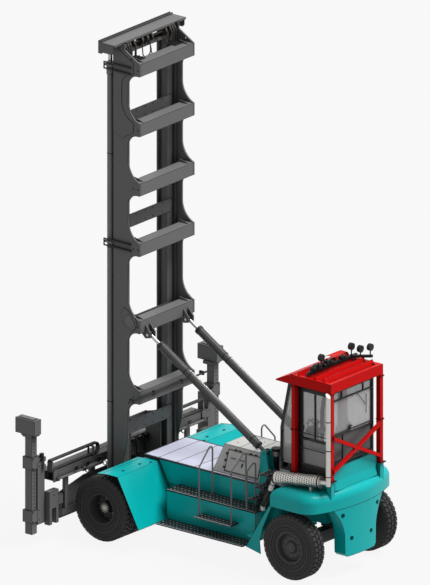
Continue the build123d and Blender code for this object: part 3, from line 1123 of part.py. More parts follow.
BARREL_END = TILT_LENGTH - TILT_EYE_R - TILT_SHOWN
for side, sign in (("left", 1), ("right", -1)):
    y = sign * TILT_Y
    with BuildPart() as tilt_barrel:
        rod_between(along_tilt(TILT_NECK, y), along_tilt(BARREL_END, y), TILT_BARREL_R)
        rod_between(along_tilt(TILT_EYE_R - 15, y), along_tilt(TILT_NECK + 5, y), TILT_EYE_HALF - 5)
        rod_between((TILT_LOWER_X, y - TILT_EYE_HALF, TILT_LOWER_Z), (TILT_LOWER_X, y + TILT_EYE_HALF, TILT_LOWER_Z),
                    TILT_EYE_R)
        rod_between((TILT_LOWER_X, y - 100, TILT_LOWER_Z), (TILT_LOWER_X, y + 100, TILT_LOWER_Z), TILT_PIN_R + 0.05,
                    mode=Mode.SUBTRACT)
        rod_between(along_tilt(BARREL_END - TILT_BORE, y), along_tilt(BARREL_END + 1, y), TILT_ROD_R + ROD_GAP,
                    mode=Mode.SUBTRACT)
    save(tilt_barrel, f"tilt_barrel_{side}")

    with BuildPart() as tilt_rod:
        rod_between(along_tilt(BARREL_END - TILT_BORE + 220, y), along_tilt(TILT_LENGTH - 30, y), TILT_ROD_R)
        rod_between((TILT_UPPER_X, y - TILT_EYE_HALF, TILT_UPPER_Z), (TILT_UPPER_X, y + TILT_EYE_HALF, TILT_UPPER_Z),
                    TILT_EYE_R)
        rod_between((TILT_UPPER_X, y - TILT_EYE_HALF - EAR_GAP - EAR, TILT_UPPER_Z),
                    (TILT_UPPER_X, y + TILT_EYE_HALF + EAR_GAP + EAR, TILT_UPPER_Z), TILT_PIN_R)
    save(tilt_rod, f"tilt_rod_{side}")

# Carriage: two roller plates inside the inner mast, tied by cross plates in front
CARRIAGE_HALF = 530
CARRIAGE_BOTTOM = 700
CARRIAGE_TOP = 2150
CARRIAGE_FRONT = REAR_SLEEVE_X
ROLLER_X = (INNER_BACK + INNER_FRONT) / 2
ROLLER_R = (INNER_FRONT - INNER_BACK) / 2 - INNER_FLANGE - RUNNING_GAP
with BuildPart() as carriage:
    for sign in (1, -1):
        side_plate((
            (INNER_BACK + 70, CARRIAGE_BOTTOM + 100),
            (INNER_BACK + 70, CARRIAGE_TOP - 40),
            (CARRIAGE_FRONT - 40, CARRIAGE_TOP - 150),
            (CARRIAGE_FRONT - 40, CARRIAGE_BOTTOM),
            (INNER_FRONT, CARRIAGE_BOTTOM),
        ), (sign * (CARRIAGE_HALF - 60), sign * (CARRIAGE_HALF - 20)))
        for z in (CARRIAGE_BOTTOM + 180, CARRIAGE_TOP - 180):
            rod_between((ROLLER_X, sign * (CARRIAGE_HALF - 20), z), (ROLLER_X, sign * (CARRIAGE_HALF + 75), z), ROLLER_R)
    for low, high in ((CARRIAGE_BOTTOM, CARRIAGE_BOTTOM + 260), (1180, 1560), (CARRIAGE_TOP - 330, CARRIAGE_TOP - 150)):
        block((CARRIAGE_FRONT - 40, CARRIAGE_FRONT), (-CARRIAGE_HALF, CARRIAGE_HALF), (low, high))
save(carriage, "carriage")

POST_SHARES = (-0.93, -0.52, -0.14, 0.14, 0.52, 0.93)
# Spreader frame: an apron plate, two long sleeves side by side and the posts that tie them
with BuildPart() as spreader_frame:
    cross_plate((
        (-APRON_HALF, APRON_BOTTOM),
        (-APRON_HALF, 930),
        (-1300, 1090),
        (1300, 1090),
        (APRON_HALF, 930),
        (APRON_HALF, APRON_BOTTOM),
    ), (APRON_X, APRON_X + APRON_PLATE))
    for sleeve_x in (REAR_SLEEVE_X, FRONT_SLEEVE_X):
        block((sleeve_x, sleeve_x + SLEEVE), (-SLEEVE_HALF, SLEEVE_HALF), (SLEEVE_Z, SLEEVE_Z + SLEEVE))
        block((sleeve_x + SLEEVE_WALL, sleeve_x + SLEEVE - SLEEVE_WALL), (-SLEEVE_HALF - 1, SLEEVE_HALF + 1),
              (SLEEVE_Z + SLEEVE_WALL, SLEEVE_Z + SLEEVE - SLEEVE_WALL), mode=Mode.SUBTRACT)
    block((REAR_SLEEVE_X + SLEEVE, FRONT_SLEEVE_X), (-SLEEVE_HALF, SLEEVE_HALF), (SLEEVE_Z + 40, SLEEVE_Z + SLEEVE - 40))
    # wear pads at the mouth that each beam runs out of
    for sign, sleeve_x in ((1, FRONT_SLEEVE_X), (-1, REAR_SLEEVE_X)):
        for z in (SLEEVE_Z + SLEEVE_WALL, SLEEVE_Z + SLEEVE - SLEEVE_WALL - PAD):
            block((sleeve_x + SLEEVE_WALL, sleeve_x + SLEEVE - SLEEVE_WALL),
                  (sign * (SLEEVE_HALF - PAD_LENGTH), sign * SLEEVE_HALF), (z, z + PAD))
        for x in (sleeve_x + SLEEVE_WALL, sleeve_x + SLEEVE - SLEEVE_WALL - PAD):
            block((x, x + PAD), (sign * (SLEEVE_HALF - PAD_LENGTH), sign * SLEEVE_HALF),
                  (SLEEVE_Z + SLEEVE_WALL, SLEEVE_Z + SLEEVE - SLEEVE_WALL))
    for share in POST_SHARES:
        y = share * APRON_HALF
        block((APRON_X - 60, APRON_X), (y - 60, y + 60), (APRON_BOTTOM + 60, SLEEVE_Z))
    # end blocks on the sleeves, forked at the foot
    for sign in (1, -1):
        block((REAR_SLEEVE_X - 20, REAR_SLEEVE_X), (sign * (SLEEVE_HALF - 140), sign * SLEEVE_HALF), (SLEEVE_Z - 30, 1500))
        block((REAR_SLEEVE_X - 20, APRON_X), (sign * FORK_IN, sign * FORK_OUT), (700, 1080))
        for near in (FORK_IN, FORK_OUT - 90):
            block((REAR_SLEEVE_X - 20, APRON_X), (sign * near, sign * (near + 90)), (APRON_BOTTOM, 700))
        block((APRON_X - 60, APRON_X), (sign * (APRON_HALF - 40), sign * FORK_IN), (700, 900))
        # cylinder behind the sleeves, on two brackets
        rod_between((SIDE_CYLINDER_X, sign * 960, SIDE_CYLINDER_Z), (SIDE_CYLINDER_X, sign * 1560, SIDE_CYLINDER_Z), 45)
        rod_between((SIDE_CYLINDER_X, sign * 1560, SIDE_CYLINDER_Z), (SIDE_CYLINDER_X, sign * 2380, SIDE_CYLINDER_Z), 24)
        for y in (970, 2330):
            block((SIDE_CYLINDER_X - 30, REAR_SLEEVE_X), (sign * y, sign * (y + 50)),
                  (SIDE_CYLINDER_Z - 35, SIDE_CYLINDER_Z + 35))
        # a post and a gate that hold the hose loop over the sleeves
        block((HOSE_X - 60, HOSE_X + 60), (sign * 2400, sign * SLEEVE_HALF), (SLEEVE_Z + SLEEVE - 10, HOSE_HIGH - HOSE_R))
        for x in (HOSE_X - 70, HOSE_X + 55):
            block((x, x + 15), (sign * 1100, sign * 1150), (SLEEVE_Z + SLEEVE - 10, HOSE_HIGH - HOSE_R))
        block((HOSE_X - 70, HOSE_X + 70), (sign * 1100, sign * 1150), (HOSE_HIGH - HOSE_R - 15, HOSE_HIGH - HOSE_R))
    block((APRON_X - 60, APRON_X + 160), (-APRON_HALF, APRON_HALF), (APRON_BOTTOM + 60, APRON_BOTTOM + 200))
save(spreader_frame, "spreader_frame")

# Hose packs of the telescopes: out of a post, along the sleeves and back in one upright loop
with BuildPart() as spreader_hoses:
    for sign in (1, -1):
        for x in (HOSE_X - HOSE_R - 2, HOSE_X + HOSE_R + 2):
            tube_run([(x, sign * 2400, HOSE_LOW), (x, sign * HOSE_END, HOSE_LOW), (x, sign * HOSE_END, HOSE_HIGH),
                      (x, sign * SLEEVE_HALF, HOSE_HIGH)], HOSE_R, (HOSE_HIGH - HOSE_LOW) / 2 - 5)
save(spreader_hoses, "spreader_hoses")

# Telescopic ends: a beam in its own sleeve, a double column and the head that holds the container
BEAM = SLEEVE - 2 * SLEEVE_WALL - 2 * SLEEVE_GAP
COLUMN_IN = HEAD_OUT - 410
for side, sign, sleeve_x in (("left", 1, FRONT_SLEEVE_X), ("right", -1, REAR_SLEEVE_X)):
    beam_low = sleeve_x + SLEEVE_WALL + SLEEVE_GAP
    with BuildPart() as telescope:
        block((beam_low, beam_low + BEAM), (sign * -2000, sign * (COLUMN_IN + 10)),
              (SLEEVE_Z + SLEEVE_WALL + SLEEVE_GAP, SLEEVE_Z + SLEEVE - SLEEVE_WALL - SLEEVE_GAP))
        # wear pads on the beam's tail
        block((beam_low - PAD, beam_low + BEAM + PAD), (sign * -2000, sign * (PAD_LENGTH - 2000)),
              (SLEEVE_Z + SLEEVE_WALL + RUNNING_GAP, SLEEVE_Z + SLEEVE - SLEEVE_WALL - RUNNING_GAP))
        block((FRONT_AXLE + 850, FRONT_AXLE + 1110), (sign * COLUMN_IN, sign * (COLUMN_IN + 230)), (430, 1760))
        for low in (1760, 1600):
            block((FRONT_AXLE + 800, FRONT_AXLE + 900), (sign * (COLUMN_IN + 20), sign * (COLUMN_IN + 90)), (low, low + 90))
        block((FRONT_AXLE + 875, FRONT_AXLE + 1050), (sign * (HEAD_OUT - 190), sign * (HEAD_OUT - 30)),
              (COLUMN_FOOT, HEAD_BLOCK_BOTTOM))
        for low, high in ((HEAD_BLOCK_BOTTOM - 60, HEAD_BLOCK_BOTTOM), (1640, 1900), (500, 760)):
            block((FRONT_AXLE + 855, FRONT_AXLE + 1100), (sign * (COLUMN_IN + 150), sign * (HEAD_OUT - 10)), (low, high))
    save(telescope, f"telescope_{side}")

    with BuildPart() as spreader_head:
        block((HEAD_BLOCK_BACK, HEAD_BLOCK_FRONT), (sign * (HEAD_OUT - HEAD_WIDTH), sign * HEAD_OUT),
              (HEAD_BLOCK_BOTTOM, HEAD_BLOCK_TOP))
        block((HEAD_BLOCK_BACK + 60, HEAD_BLOCK_FRONT - 60), (sign * (HEAD_OUT - HEAD_WIDTH + 40), sign * (HEAD_OUT - 40)),
              (HEAD_BLOCK_TOP, HEAD_BLOCK_TOP + 15))
        rod_between((HEAD_BLOCK_FRONT - 100, sign * (HEAD_OUT - HEAD_WIDTH / 2), HEAD_BLOCK_BOTTOM),
                    (HEAD_BLOCK_FRONT - 100, sign * (HEAD_OUT - HEAD_WIDTH / 2), HEAD_BLOCK_BOTTOM - PIN_LENGTH), PIN_R)
    save(spreader_head, f"spreader_head_{side}")
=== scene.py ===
# %% [markdown]
# # A heavy lift truck that carries empty containers
#
# The truck itself, its mast, cab and side spreader, comes in as a ready frame of
# CAD solids in metres: x forward, y to the driver's left, z up. This lesson gives each
# solid its real finish and adds what a fitter would put on afterwards: cushions, nuts,
# latches, tread, lamp lenses and hoses.

# %% Load the frame
import math

import bmesh
import bpy
from mathutils import Matrix, Vector
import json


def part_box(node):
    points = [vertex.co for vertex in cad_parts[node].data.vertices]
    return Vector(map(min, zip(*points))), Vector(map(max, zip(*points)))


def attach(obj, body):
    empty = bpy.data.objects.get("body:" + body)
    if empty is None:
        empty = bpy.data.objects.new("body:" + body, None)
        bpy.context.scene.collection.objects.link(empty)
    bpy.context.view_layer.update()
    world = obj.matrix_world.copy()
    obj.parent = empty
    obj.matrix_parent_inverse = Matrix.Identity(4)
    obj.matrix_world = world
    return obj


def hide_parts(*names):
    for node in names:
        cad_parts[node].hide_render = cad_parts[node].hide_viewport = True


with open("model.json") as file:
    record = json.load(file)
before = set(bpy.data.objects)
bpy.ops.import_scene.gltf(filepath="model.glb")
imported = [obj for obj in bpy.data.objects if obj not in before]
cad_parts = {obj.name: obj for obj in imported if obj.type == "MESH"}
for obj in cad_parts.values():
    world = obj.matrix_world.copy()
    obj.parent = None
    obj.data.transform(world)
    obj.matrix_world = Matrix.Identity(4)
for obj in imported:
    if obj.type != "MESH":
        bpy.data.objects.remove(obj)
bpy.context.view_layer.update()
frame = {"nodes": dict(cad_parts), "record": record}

# %% [markdown]
# ## The camera
#
# The picture of the real truck has no vanishing points: its uprights stay parallel
# and the far wheels are as large as the near ones. That is an orthographic view, so
# the camera is one too. Where it stands then sets only the direction, and the scale
# in metres across the longer side sets the size.

# %% Place the camera
VIEW = Vector((0.5942, -0.7346, -0.3277)).normalized()
ACROSS = VIEW.cross(Vector((0, 0, 1))).normalized()
UPWARD = ACROSS.cross(VIEW).normalized()
FRAME_TALL = 585      # pixels
PICTURE_SCALE = 49.5  # pixels in a metre
AIM_ACROSS, AIM_UP = -0.4218, 4.966  # the middle of the picture, in metres
STAND_OFF = 40        # metres from the truck, which an orthographic view doesn't show

lens = bpy.data.cameras.new("front_camera")
lens.type = "ORTHO"
lens.ortho_scale = FRAME_TALL / PICTURE_SCALE
lens.clip_end = 5 * STAND_OFF
camera = bpy.data.objects.new("front_camera", lens)
camera.location = ACROSS * AIM_ACROSS + UPWARD * AIM_UP - VIEW * STAND_OFF
camera.rotation_euler = VIEW.to_track_quat("-Z", "Y").to_euler()
bpy.context.scene.collection.objects.link(camera)
bpy.context.scene.camera = camera
print("camera at", camera.location, "frame height in metres", lens.ortho_scale)

# %% [markdown]
# ## Nodes and colours
#
# A finish is a small graph of nodes, and four helpers are enough for all of them. One
# turns a colour as a painter's chart gives it (sRGB, in hex) into the linear numbers
# that the shader works in. One starts a material. One adds a node with its settings,
# and one gives a node's inputs what they hold or follow.

# %% Colour and node helpers
MIX_A, MIX_B, MIXED = 6, 7, 2  # a Mix node's two colour inputs and its colour output, by number


def linear(code):
    """A colour written as in sRGB hex, as the shader's linear RGBA."""
    parts = [int(code[i:i + 2], 16) / 255 for i in (1, 3, 5)]
    return tuple(p / 12.92 if p <= 0.04045 else ((p + 0.055) / 1.055) ** 2.4 for p in parts) + (1.0,)


def fill(tree, node, inputs):
    """Give a node's inputs, by name or number, a value or the output that they follow."""
    for name, given in inputs.items():
        if isinstance(given, bpy.types.NodeSocket):
            tree.links.new(given, node.inputs[name])
        else:
            node.inputs[name].default_value = given


def add(tree, kind, inputs=None, **settings):
    """One node of this kind. Settings named as inputs fill inputs, others fill properties."""
    made = tree.nodes.new(kind)
    for name, value in settings.items():
        if hasattr(made, name):
            setattr(made, name, value)
        else:
            made.inputs[name.replace("_", " ")].default_value = value
    fill(tree, made, inputs or {})
    return made


def material(name):
    """A new material, its tree, its shader and the place on the object that a pattern follows."""
    made = bpy.data.materials.new(name)
    made.use_nodes = True
    tree = made.node_tree
    return made, tree, tree.nodes["Principled BSDF"], add(tree, "ShaderNodeTexCoord").outputs["Object"]


print("teal as linear colour:", [round(c, 3) for c in linear("#00C4C4")])

# %% [markdown]
# ## Enamel over steel plate
#
# Nearly everything on such a truck is welded plate under sprayed alkyd enamel. The eye
# reads that from four things: a broad unevenness of colour, a slight waviness from the
# spray, painted shade that darkens the corners, and edges where the paint is thin and
# the dark primer shows. One function makes them all, because the teal, the red and the
# greys differ only in their colour and their gloss. A pixel here is 20 mm wide, so the
# spray waviness (really about 3 mm) and the bare edges (really 2 to 4 mm) are drawn coarser.

# %% The enamel
CLOUD = 1 / 0.9      # patches of colour about 900 mm across
SPRAY = 1 / 0.03     # spray waviness, drawn 30 mm across so that it shows
GRIT = 1 / 0.06      # specks of dirt and chips, 60 mm clusters
EDGE = 0.024         # bare edge, drawn up to 24 mm wide
SHADE_REACH = 0.25        # how far the painted shade reaches out of a corner
# the colour that the painted shade in corners darkens towards
CORNER_SHADE_COLOUR = "#1B1A18"


def enamel(name, colour, primer="#101010", rough=0.35, corner_shade=0.35, edge=0.95, coat=0.0, shine=0.35):
    """Sprayed enamel: cloudy colour, painted shade in the corners, primer at the edges, uneven gloss."""
    made, tree, shader, place = material(name)
    cloud = add(tree, "ShaderNodeTexNoise", {"Vector": place}, Scale=CLOUD, Detail=4.0)
    speck = add(tree, "ShaderNodeTexNoise", {"Vector": place}, Scale=GRIT, Detail=6.0, Roughness=0.7)
    spray = add(tree, "ShaderNodeTexNoise", {"Vector": place}, Scale=SPRAY, Detail=2.0)

    # colour: a few per cent lighter and darker in broad patches
    tone = add(tree, "ShaderNodeMapRange", {"Value": cloud.outputs["Fac"]}, To_Min=0.90, To_Max=1.07)
    base = add(tree, "ShaderNodeMix", {0: 1.0, MIX_A: linear(colour), MIX_B: tone.outputs["Result"]},
               data_type="RGBA", blend_type="MULTIPLY")

    # corners: painted shade, a darker colour where the surface is closed in
    closed = add(tree, "ShaderNodeAmbientOcclusion", samples=6, Distance=SHADE_REACH)
    shade_mask = add(tree, "ShaderNodeMapRange", {"Value": closed.outputs["AO"]},
               From_Min=0.35, From_Max=0.95, To_Min=corner_shade, To_Max=0.0)
    shaded_base = add(tree, "ShaderNodeMix", {0: shade_mask.outputs["Result"], MIX_A: base.outputs[MIXED],
                                         MIX_B: linear(CORNER_SHADE_COLOUR)}, data_type="RGBA")

    # edges: where a rounded normal and the flat one part company
    rounded = add(tree, "ShaderNodeBevel", samples=12, Radius=EDGE)
    flat = add(tree, "ShaderNodeNewGeometry")
    turn = add(tree, "ShaderNodeVectorMath", {0: rounded.outputs["Normal"], 1: flat.outputs["Normal"]},
               operation="DOT_PRODUCT")
    bare = add(tree, "ShaderNodeMapRange", {"Value": turn.outputs["Value"]},
               From_Min=0.90, From_Max=0.985, To_Min=edge, To_Max=0.0)
    worn = add(tree, "ShaderNodeMix", {0: bare.outputs["Result"], MIX_A: shaded_base.outputs[MIXED],
                                       MIX_B: linear(primer)}, data_type="RGBA")

    gloss = add(tree, "ShaderNodeMapRange", {"Value": speck.outputs["Fac"]},
                From_Min=0.3, From_Max=0.7, To_Min=rough - 0.06, To_Max=rough + 0.12)
    wave = add(tree, "ShaderNodeBump", {"Height": spray.outputs["Fac"]}, Strength=0.035, Distance=0.004)
    fill(tree, shader, {"Base Color": worn.outputs[MIXED], "Roughness": gloss.outputs["Result"],
                        "Normal": wave.outputs["Normal"], "IOR": 1.5, "Specular IOR Level": shine,
                        "Coat Weight": coat, "Coat Roughness": 0.12})
    return made


finishes = {
    "teal_paint": enamel("teal_gloss_enamel", "#00C4C4", rough=0.34, corner_shade=0.5, coat=0.06, shine=0.2),
    "mast_paint": enamel("charcoal_satin_enamel", "#7A7A7A", rough=0.5, corner_shade=0.55, shine=0.25),
    "guard_red_paint": enamel("signal_red_enamel", "#E60000", rough=0.42, corner_shade=0.4, shine=0.12),
    "hood_grey_paint": enamel("light_grey_satin_enamel", "#D6D5D2", rough=0.5, corner_shade=0.4),
    "deck_plate": enamel("pale_grey_deck_enamel", "#DCDEF2", rough=0.55, corner_shade=0.4),
    "black_paint": enamel("black_satin_enamel", "#151516", primer="#000000", rough=0.45, corner_shade=0.3, edge=0.6),
    "cast_grey": enamel("painted_cast_iron", "#5A5A5C", rough=0.55, corner_shade=0.5),
}
print("enamels:", sorted(m.name for m in finishes.values()))

# %% [markdown]
# ## Bare metals
#
# The piston rods are hard-chromed steel, ground and polished: a metal, so its colour is
# its reflection, nearly mirror-like along the rod with a thin film of oil that breaks
# it up. The muffler and stack are aluminised steel sheet, duller and paler. The chains
# are oiled steel, darker than both.

# %% Chrome, aluminised sheet and chain steel
FILM = 1 / 0.05      # patches in the oil film, 50 mm across


def bare_metal(name, colour, rough, spread, streak):
    """Metal whose roughness wanders, stretched along z by streak."""
    made, tree, shader, place = material(name)
    drawn = add(tree, "ShaderNodeMapping", {"Vector": place, "Scale": (1, 1, streak)})
    film = add(tree, "ShaderNodeTexNoise", {"Vector": drawn.outputs["Vector"]}, Scale=FILM, Detail=5.0)
    dull = add(tree, "ShaderNodeMapRange", {"Value": film.outputs["Fac"]},
               From_Min=0.3, From_Max=0.7, To_Min=rough, To_Max=rough + spread)
    tone = add(tree, "ShaderNodeMapRange", {"Value": film.outputs["Fac"]}, To_Min=0.82, To_Max=1.1)
    base = add(tree, "ShaderNodeMix", {0: 1.0, MIX_A: linear(colour), MIX_B: tone.outputs["Result"]},
               data_type="RGBA", blend_type="MULTIPLY")
    lumps = add(tree, "ShaderNodeBump", {"Height": film.outputs["Fac"]}, Strength=0.05, Distance=0.002)
    fill(tree, shader, {"Base Color": base.outputs[MIXED], "Roughness": dull.outputs["Result"],
                        "Normal": lumps.outputs["Normal"], "Metallic": 1.0})
    return made


finishes["chrome_rod"] = bare_metal("hard_chromed_steel", "#A9AAAB", 0.12, 0.16, 0.2)
finishes["exhaust_steel"] = bare_metal("aluminised_steel_sheet", "#C9C6C1", 0.38, 0.22, 1.0)
finishes["chain_steel"] = bare_metal("oiled_chain_steel", "#5B5854", 0.35, 0.25, 1.0)
print("metals:", [finishes[key].name for key in ("chrome_rod", "exhaust_steel", "chain_steel")])

# %% [markdown]
# ## Rubber, glass, cloth and plastic
#
# Tyre rubber is matt and never quite black: the tread is scuffed to a warm grey and the
# sidewalls keep a faint bloom. Cab glass is tinted safety glass, made as a pale
# dielectric that lets part of what is behind it show through. The seat is woven
# polyester, whose weave (about 2 mm) is drawn at 16 mm so that it shows. The console is
# grained ABS, with a grain of 12 mm for the same reason.

# %% Tyre rubber
BLOOM = 1 / 0.12     # bloom and scuffs, 120 mm patches
PEBBLE = 1 / 0.02    # the rubber's moulded grain, drawn 20 mm across

rubber, tree, shader, place = material("natural_rubber_tyre")
bloom = add(tree, "ShaderNodeTexNoise", {"Vector": place}, Scale=BLOOM, Detail=6.0, Roughness=0.65)
# scuffs and bloom, with painted shade: AO keeps the colour near black where the rubber is closed in, between
# the blocks
closed = add(tree, "ShaderNodeAmbientOcclusion", samples=6, Distance=0.06)
bloom_and_painted_shade = add(tree, "ShaderNodeMath", {0: bloom.outputs["Fac"], 1: closed.outputs["AO"]},
                operation="MULTIPLY")
scuff_and_painted_shade = add(tree, "ShaderNodeMapRange", {"Value": bloom_and_painted_shade.outputs["Value"]},
            From_Min=0.15, From_Max=0.62, To_Min=0.0, To_Max=1.0)
worn = add(tree, "ShaderNodeMix", {0: scuff_and_painted_shade.outputs["Result"], MIX_A: linear("#060606"),
                                   MIX_B: linear("#343332")}, data_type="RGBA")
pebble = add(tree, "ShaderNodeTexNoise", {"Vector": place}, Scale=PEBBLE, Detail=3.0)
grain = add(tree, "ShaderNodeBump", {"Height": pebble.outputs["Fac"]}, Strength=0.2, Distance=0.003)
dull = add(tree, "ShaderNodeMapRange", {"Value": bloom.outputs["Fac"]}, To_Min=0.62, To_Max=0.92)
fill(tree, shader, {"Base Color": worn.outputs[MIXED], "Normal": grain.outputs["Normal"],
                    "Roughness": dull.outputs["Result"], "IOR": 1.52})
finishes["tyre_rubber"] = rubber
print("made", rubber.name)

# %% Hose rubber
DUST = 1 / 0.08      # dust on the hose, 80 mm patches
WRAP = 1 / 0.06      # the cloth wrap's mark: a wave of this scale repeats every 19 mm

braid, tree, shader, place = material("nitrile_rubber_hose")
dust = add(tree, "ShaderNodeTexNoise", {"Vector": place}, Scale=DUST, Detail=5.0)
film = add(tree, "ShaderNodeMix", {0: dust.outputs["Fac"], MIX_A: linear("#0A0A0A"),
                                   MIX_B: linear("#201F1D")}, data_type="RGBA")
wrap = add(tree, "ShaderNodeTexWave", {"Vector": place}, bands_direction="Y", Scale=WRAP, Distortion=0.5)
wound = add(tree, "ShaderNodeBump", {"Height": wrap.outputs["Fac"]}, Strength=0.15, Distance=0.002)
fill(tree, shader, {"Base Color": film.outputs[MIXED], "Normal": wound.outputs["Normal"],
                    "Roughness": 0.55, "IOR": 1.52})
finishes["hose_rubber"] = braid
print("made", braid.name)

# %% Tinted safety glass
HAZE = 1 / 0.35      # wiped dust, 350 mm patches

glass, tree, shader, place = material("tinted_safety_glass")
haze = add(tree, "ShaderNodeTexNoise", {"Vector": place}, Scale=HAZE, Detail=5.0)
film = add(tree, "ShaderNodeMapRange", {"Value": haze.outputs["Fac"]}, To_Min=0.03, To_Max=0.14)
dust = add(tree, "ShaderNodeMapRange", {"Value": haze.outputs["Fac"]}, To_Min=0.34, To_Max=0.47)
fill(tree, shader, {"Base Color": linear("#D2D4D5"), "Roughness": film.outputs["Result"],
                    "Alpha": dust.outputs["Result"], "IOR": 1.52})
finishes["cab_glass"] = glass
print("made", glass.name)

# %% Woven polyester
WEAVE = 1 / 0.05     # the threads: a wave of this scale repeats every 16 mm

cloth, tree, shader, place = material("woven_polyester")
warp = add(tree, "ShaderNodeTexWave", {"Vector": place}, bands_direction="Y", Scale=WEAVE, Distortion=0.3)
weft = add(tree, "ShaderNodeTexWave", {"Vector": place}, bands_direction="Z", Scale=WEAVE, Distortion=0.3)
threads = add(tree, "ShaderNodeMath", {0: warp.outputs["Fac"], 1: weft.outputs["Fac"]}, operation="MAXIMUM")
shade = add(tree, "ShaderNodeMix", {0: threads.outputs["Value"], MIX_A: linear("#232426"),
                                    MIX_B: linear("#3D3F43")}, data_type="RGBA")
weave = add(tree, "ShaderNodeBump", {"Height": threads.outputs["Value"]}, Strength=0.3, Distance=0.002)
fill(tree, shader, {"Base Color": shade.outputs[MIXED], "Normal": weave.outputs["Normal"],
                    "Roughness": 0.9, "Sheen Weight": 0.3})
finishes["seat_fabric"] = cloth
print("made", cloth.name)

# %% Grained ABS
GRAIN = 1 / 0.012    # the moulded grain, drawn 12 mm across

moulded, tree, shader, place = material("grained_abs")
grain = add(tree, "ShaderNodeTexVoronoi", {"Vector": place}, Scale=GRAIN)
tint = add(tree, "ShaderNodeMapRange", {"Value": grain.outputs["Distance"]}, To_Min=0.85, To_Max=1.15)
base = add(tree, "ShaderNodeMix", {0: 1.0, MIX_A: linear("#2C2D2F"), MIX_B: tint.outputs["Result"]},
           data_type="RGBA", blend_type="MULTIPLY")
leather = add(tree, "ShaderNodeBump", {"Height": grain.outputs["Distance"]}, Strength=0.25, Distance=0.001)
fill(tree, shader, {"Base Color": base.outputs[MIXED], "Normal": leather.outputs["Normal"],
                    "Roughness": 0.55, "IOR": 1.53})
finishes["console_plastic"] = moulded
print("made", moulded.name)

# %% [markdown]
# ## Dressing the frame
#
# Every solid of the frame names the slot it is finished in, so one loop dresses them
# all. The cylinders and the handrails are painted apart from the mast and the steps, so
# they get greys of their own.

# %% Give each solid its finish
for part in frame["record"]["subparts"]:
    solid = frame["nodes"][part["node"]]
    solid.data.materials.clear()
    solid.data.materials.append(finishes[part["material_slot"]])
tilt_enamel = enamel("dark_cylinder_enamel", "#434344", rough=0.38, corner_shade=0.2, edge=0.5)
lift_enamel = enamel("light_cylinder_enamel", "#8E8E8E", rough=0.38, corner_shade=0.3, edge=0.6)
rail_enamel = enamel("grey_handrail_enamel", "#7C7C7E", rough=0.4, corner_shade=0.2, edge=0.2)
for name, coat in (("tilt_barrel_left", tilt_enamel), ("tilt_barrel_right", tilt_enamel),
                   ("lift_barrels", lift_enamel), ("handrails", rail_enamel)):
    frame["nodes"][name].data.materials[0] = coat

# %% [markdown]
# ## Helpers for added pieces
#
# Most added pieces are many small solids of one kind: nuts, latches, treads. Each kind
# is collected in one bmesh and becomes one object, which keeps the scene tidy and lets
# the piece ride on its body as a whole. Edges of pressed and turned metal are never
# sharp, so every block and disc here gets a small chamfer as it is made.

# %% Mesh helpers
def chamfered_box(shape, low, high, chamfer=0.004):
    """A box from its low to its high corner, with its edges chamfered."""
    middle = (Vector(low) + Vector(high)) / 2
    size = Vector(high) - Vector(low)
    place = Matrix.Translation(middle) @ Matrix.Diagonal((*size, 1))
    made = bmesh.ops.create_cube(shape, size=1.0, matrix=place)
    edges = list({e for v in made["verts"] for e in v.link_edges})
    width = min(chamfer, 0.3 * min(abs(s) for s in size))
    bmesh.ops.bevel(shape, geom=edges, offset=width, segments=1, affect="EDGES", profile=0.5)


def skin(shape, loops):
    """Quads between each loop of vertices and the next."""
    for below, above in zip(loops, loops[1:]):
        for i in range(len(below)):
            j = (i + 1) % len(below)
            shape.faces.new((below[i], below[j], above[j], above[i]))


def disc(shape, centre, axis, radius, height, sides=24, chamfer=0.12):
    """A turned disc that stands height proud of centre along axis, its rim chamfered."""
    turn = Vector(axis).normalized().to_track_quat("Z", "Y").to_matrix().to_4x4()
    place = Matrix.Translation(Vector(centre)) @ turn
    rings = ((radius, 0.0), (radius, height * (1 - chamfer)), (radius * (1 - chamfer * 0.6), height))
    loops = []
    for r, h in rings:
        loops.append([shape.verts.new(place @ Vector((r * math.cos(2 * math.pi * i / sides),
                                                      r * math.sin(2 * math.pi * i / sides), h)))
                      for i in range(sides)])
    skin(shape, loops)
    shape.faces.new(loops[-1])
    shape.faces.new(list(reversed(loops[0])))


def bar_between(shape, start, end, radius, sides=10):
    """A round bar from start to end."""
    start, end = Vector(start), Vector(end)
    disc(shape, start, end - start, radius, (end - start).length, sides, chamfer=0.01)


def piece(shape, name, slot, body, finish=None, smooth=False, replaced=()):
    """Turn a bmesh into an object that rides on a body. It wears its slot's finish or its own."""
    mesh = bpy.data.meshes.new(name)
    bmesh.ops.recalc_face_normals(shape, faces=shape.faces)
    shape.to_mesh(mesh)
    shape.free()
    for face in mesh.polygons:
        face.use_smooth = smooth
    mesh.materials.append(finish or finishes[slot])
    made = bpy.data.objects.new(name, mesh)
    bpy.context.scene.collection.objects.link(made)
    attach(made, body)
    if replaced:
        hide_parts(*replaced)
    print(name, "on", body, "with", len(mesh.polygons), "faces")
    return made


SIDES = (("left", 1), ("right", -1))
print("helpers ready")

# %% A chamfered box on a sloping plane
def slab(shape, place, low, high, chamfer=0.003):
    """A chamfered box given in the plane's own across, up and outward directions."""
    before = set(shape.verts)
    chamfered_box(shape, low, high, chamfer)
    bmesh.ops.transform(shape, matrix=place, verts=[v for v in shape.verts if v not in before])


def plane_at(origin, across, upward, outward):
    """The matrix of a plane from its corner and three directions."""
    columns = [Vector(v).normalized() for v in (across, upward, outward)]
    return Matrix([[columns[c][r] for c in range(3)] + [origin[r]] for r in range(3)] + [[0, 0, 0, 1]])


print("sloping planes ready")

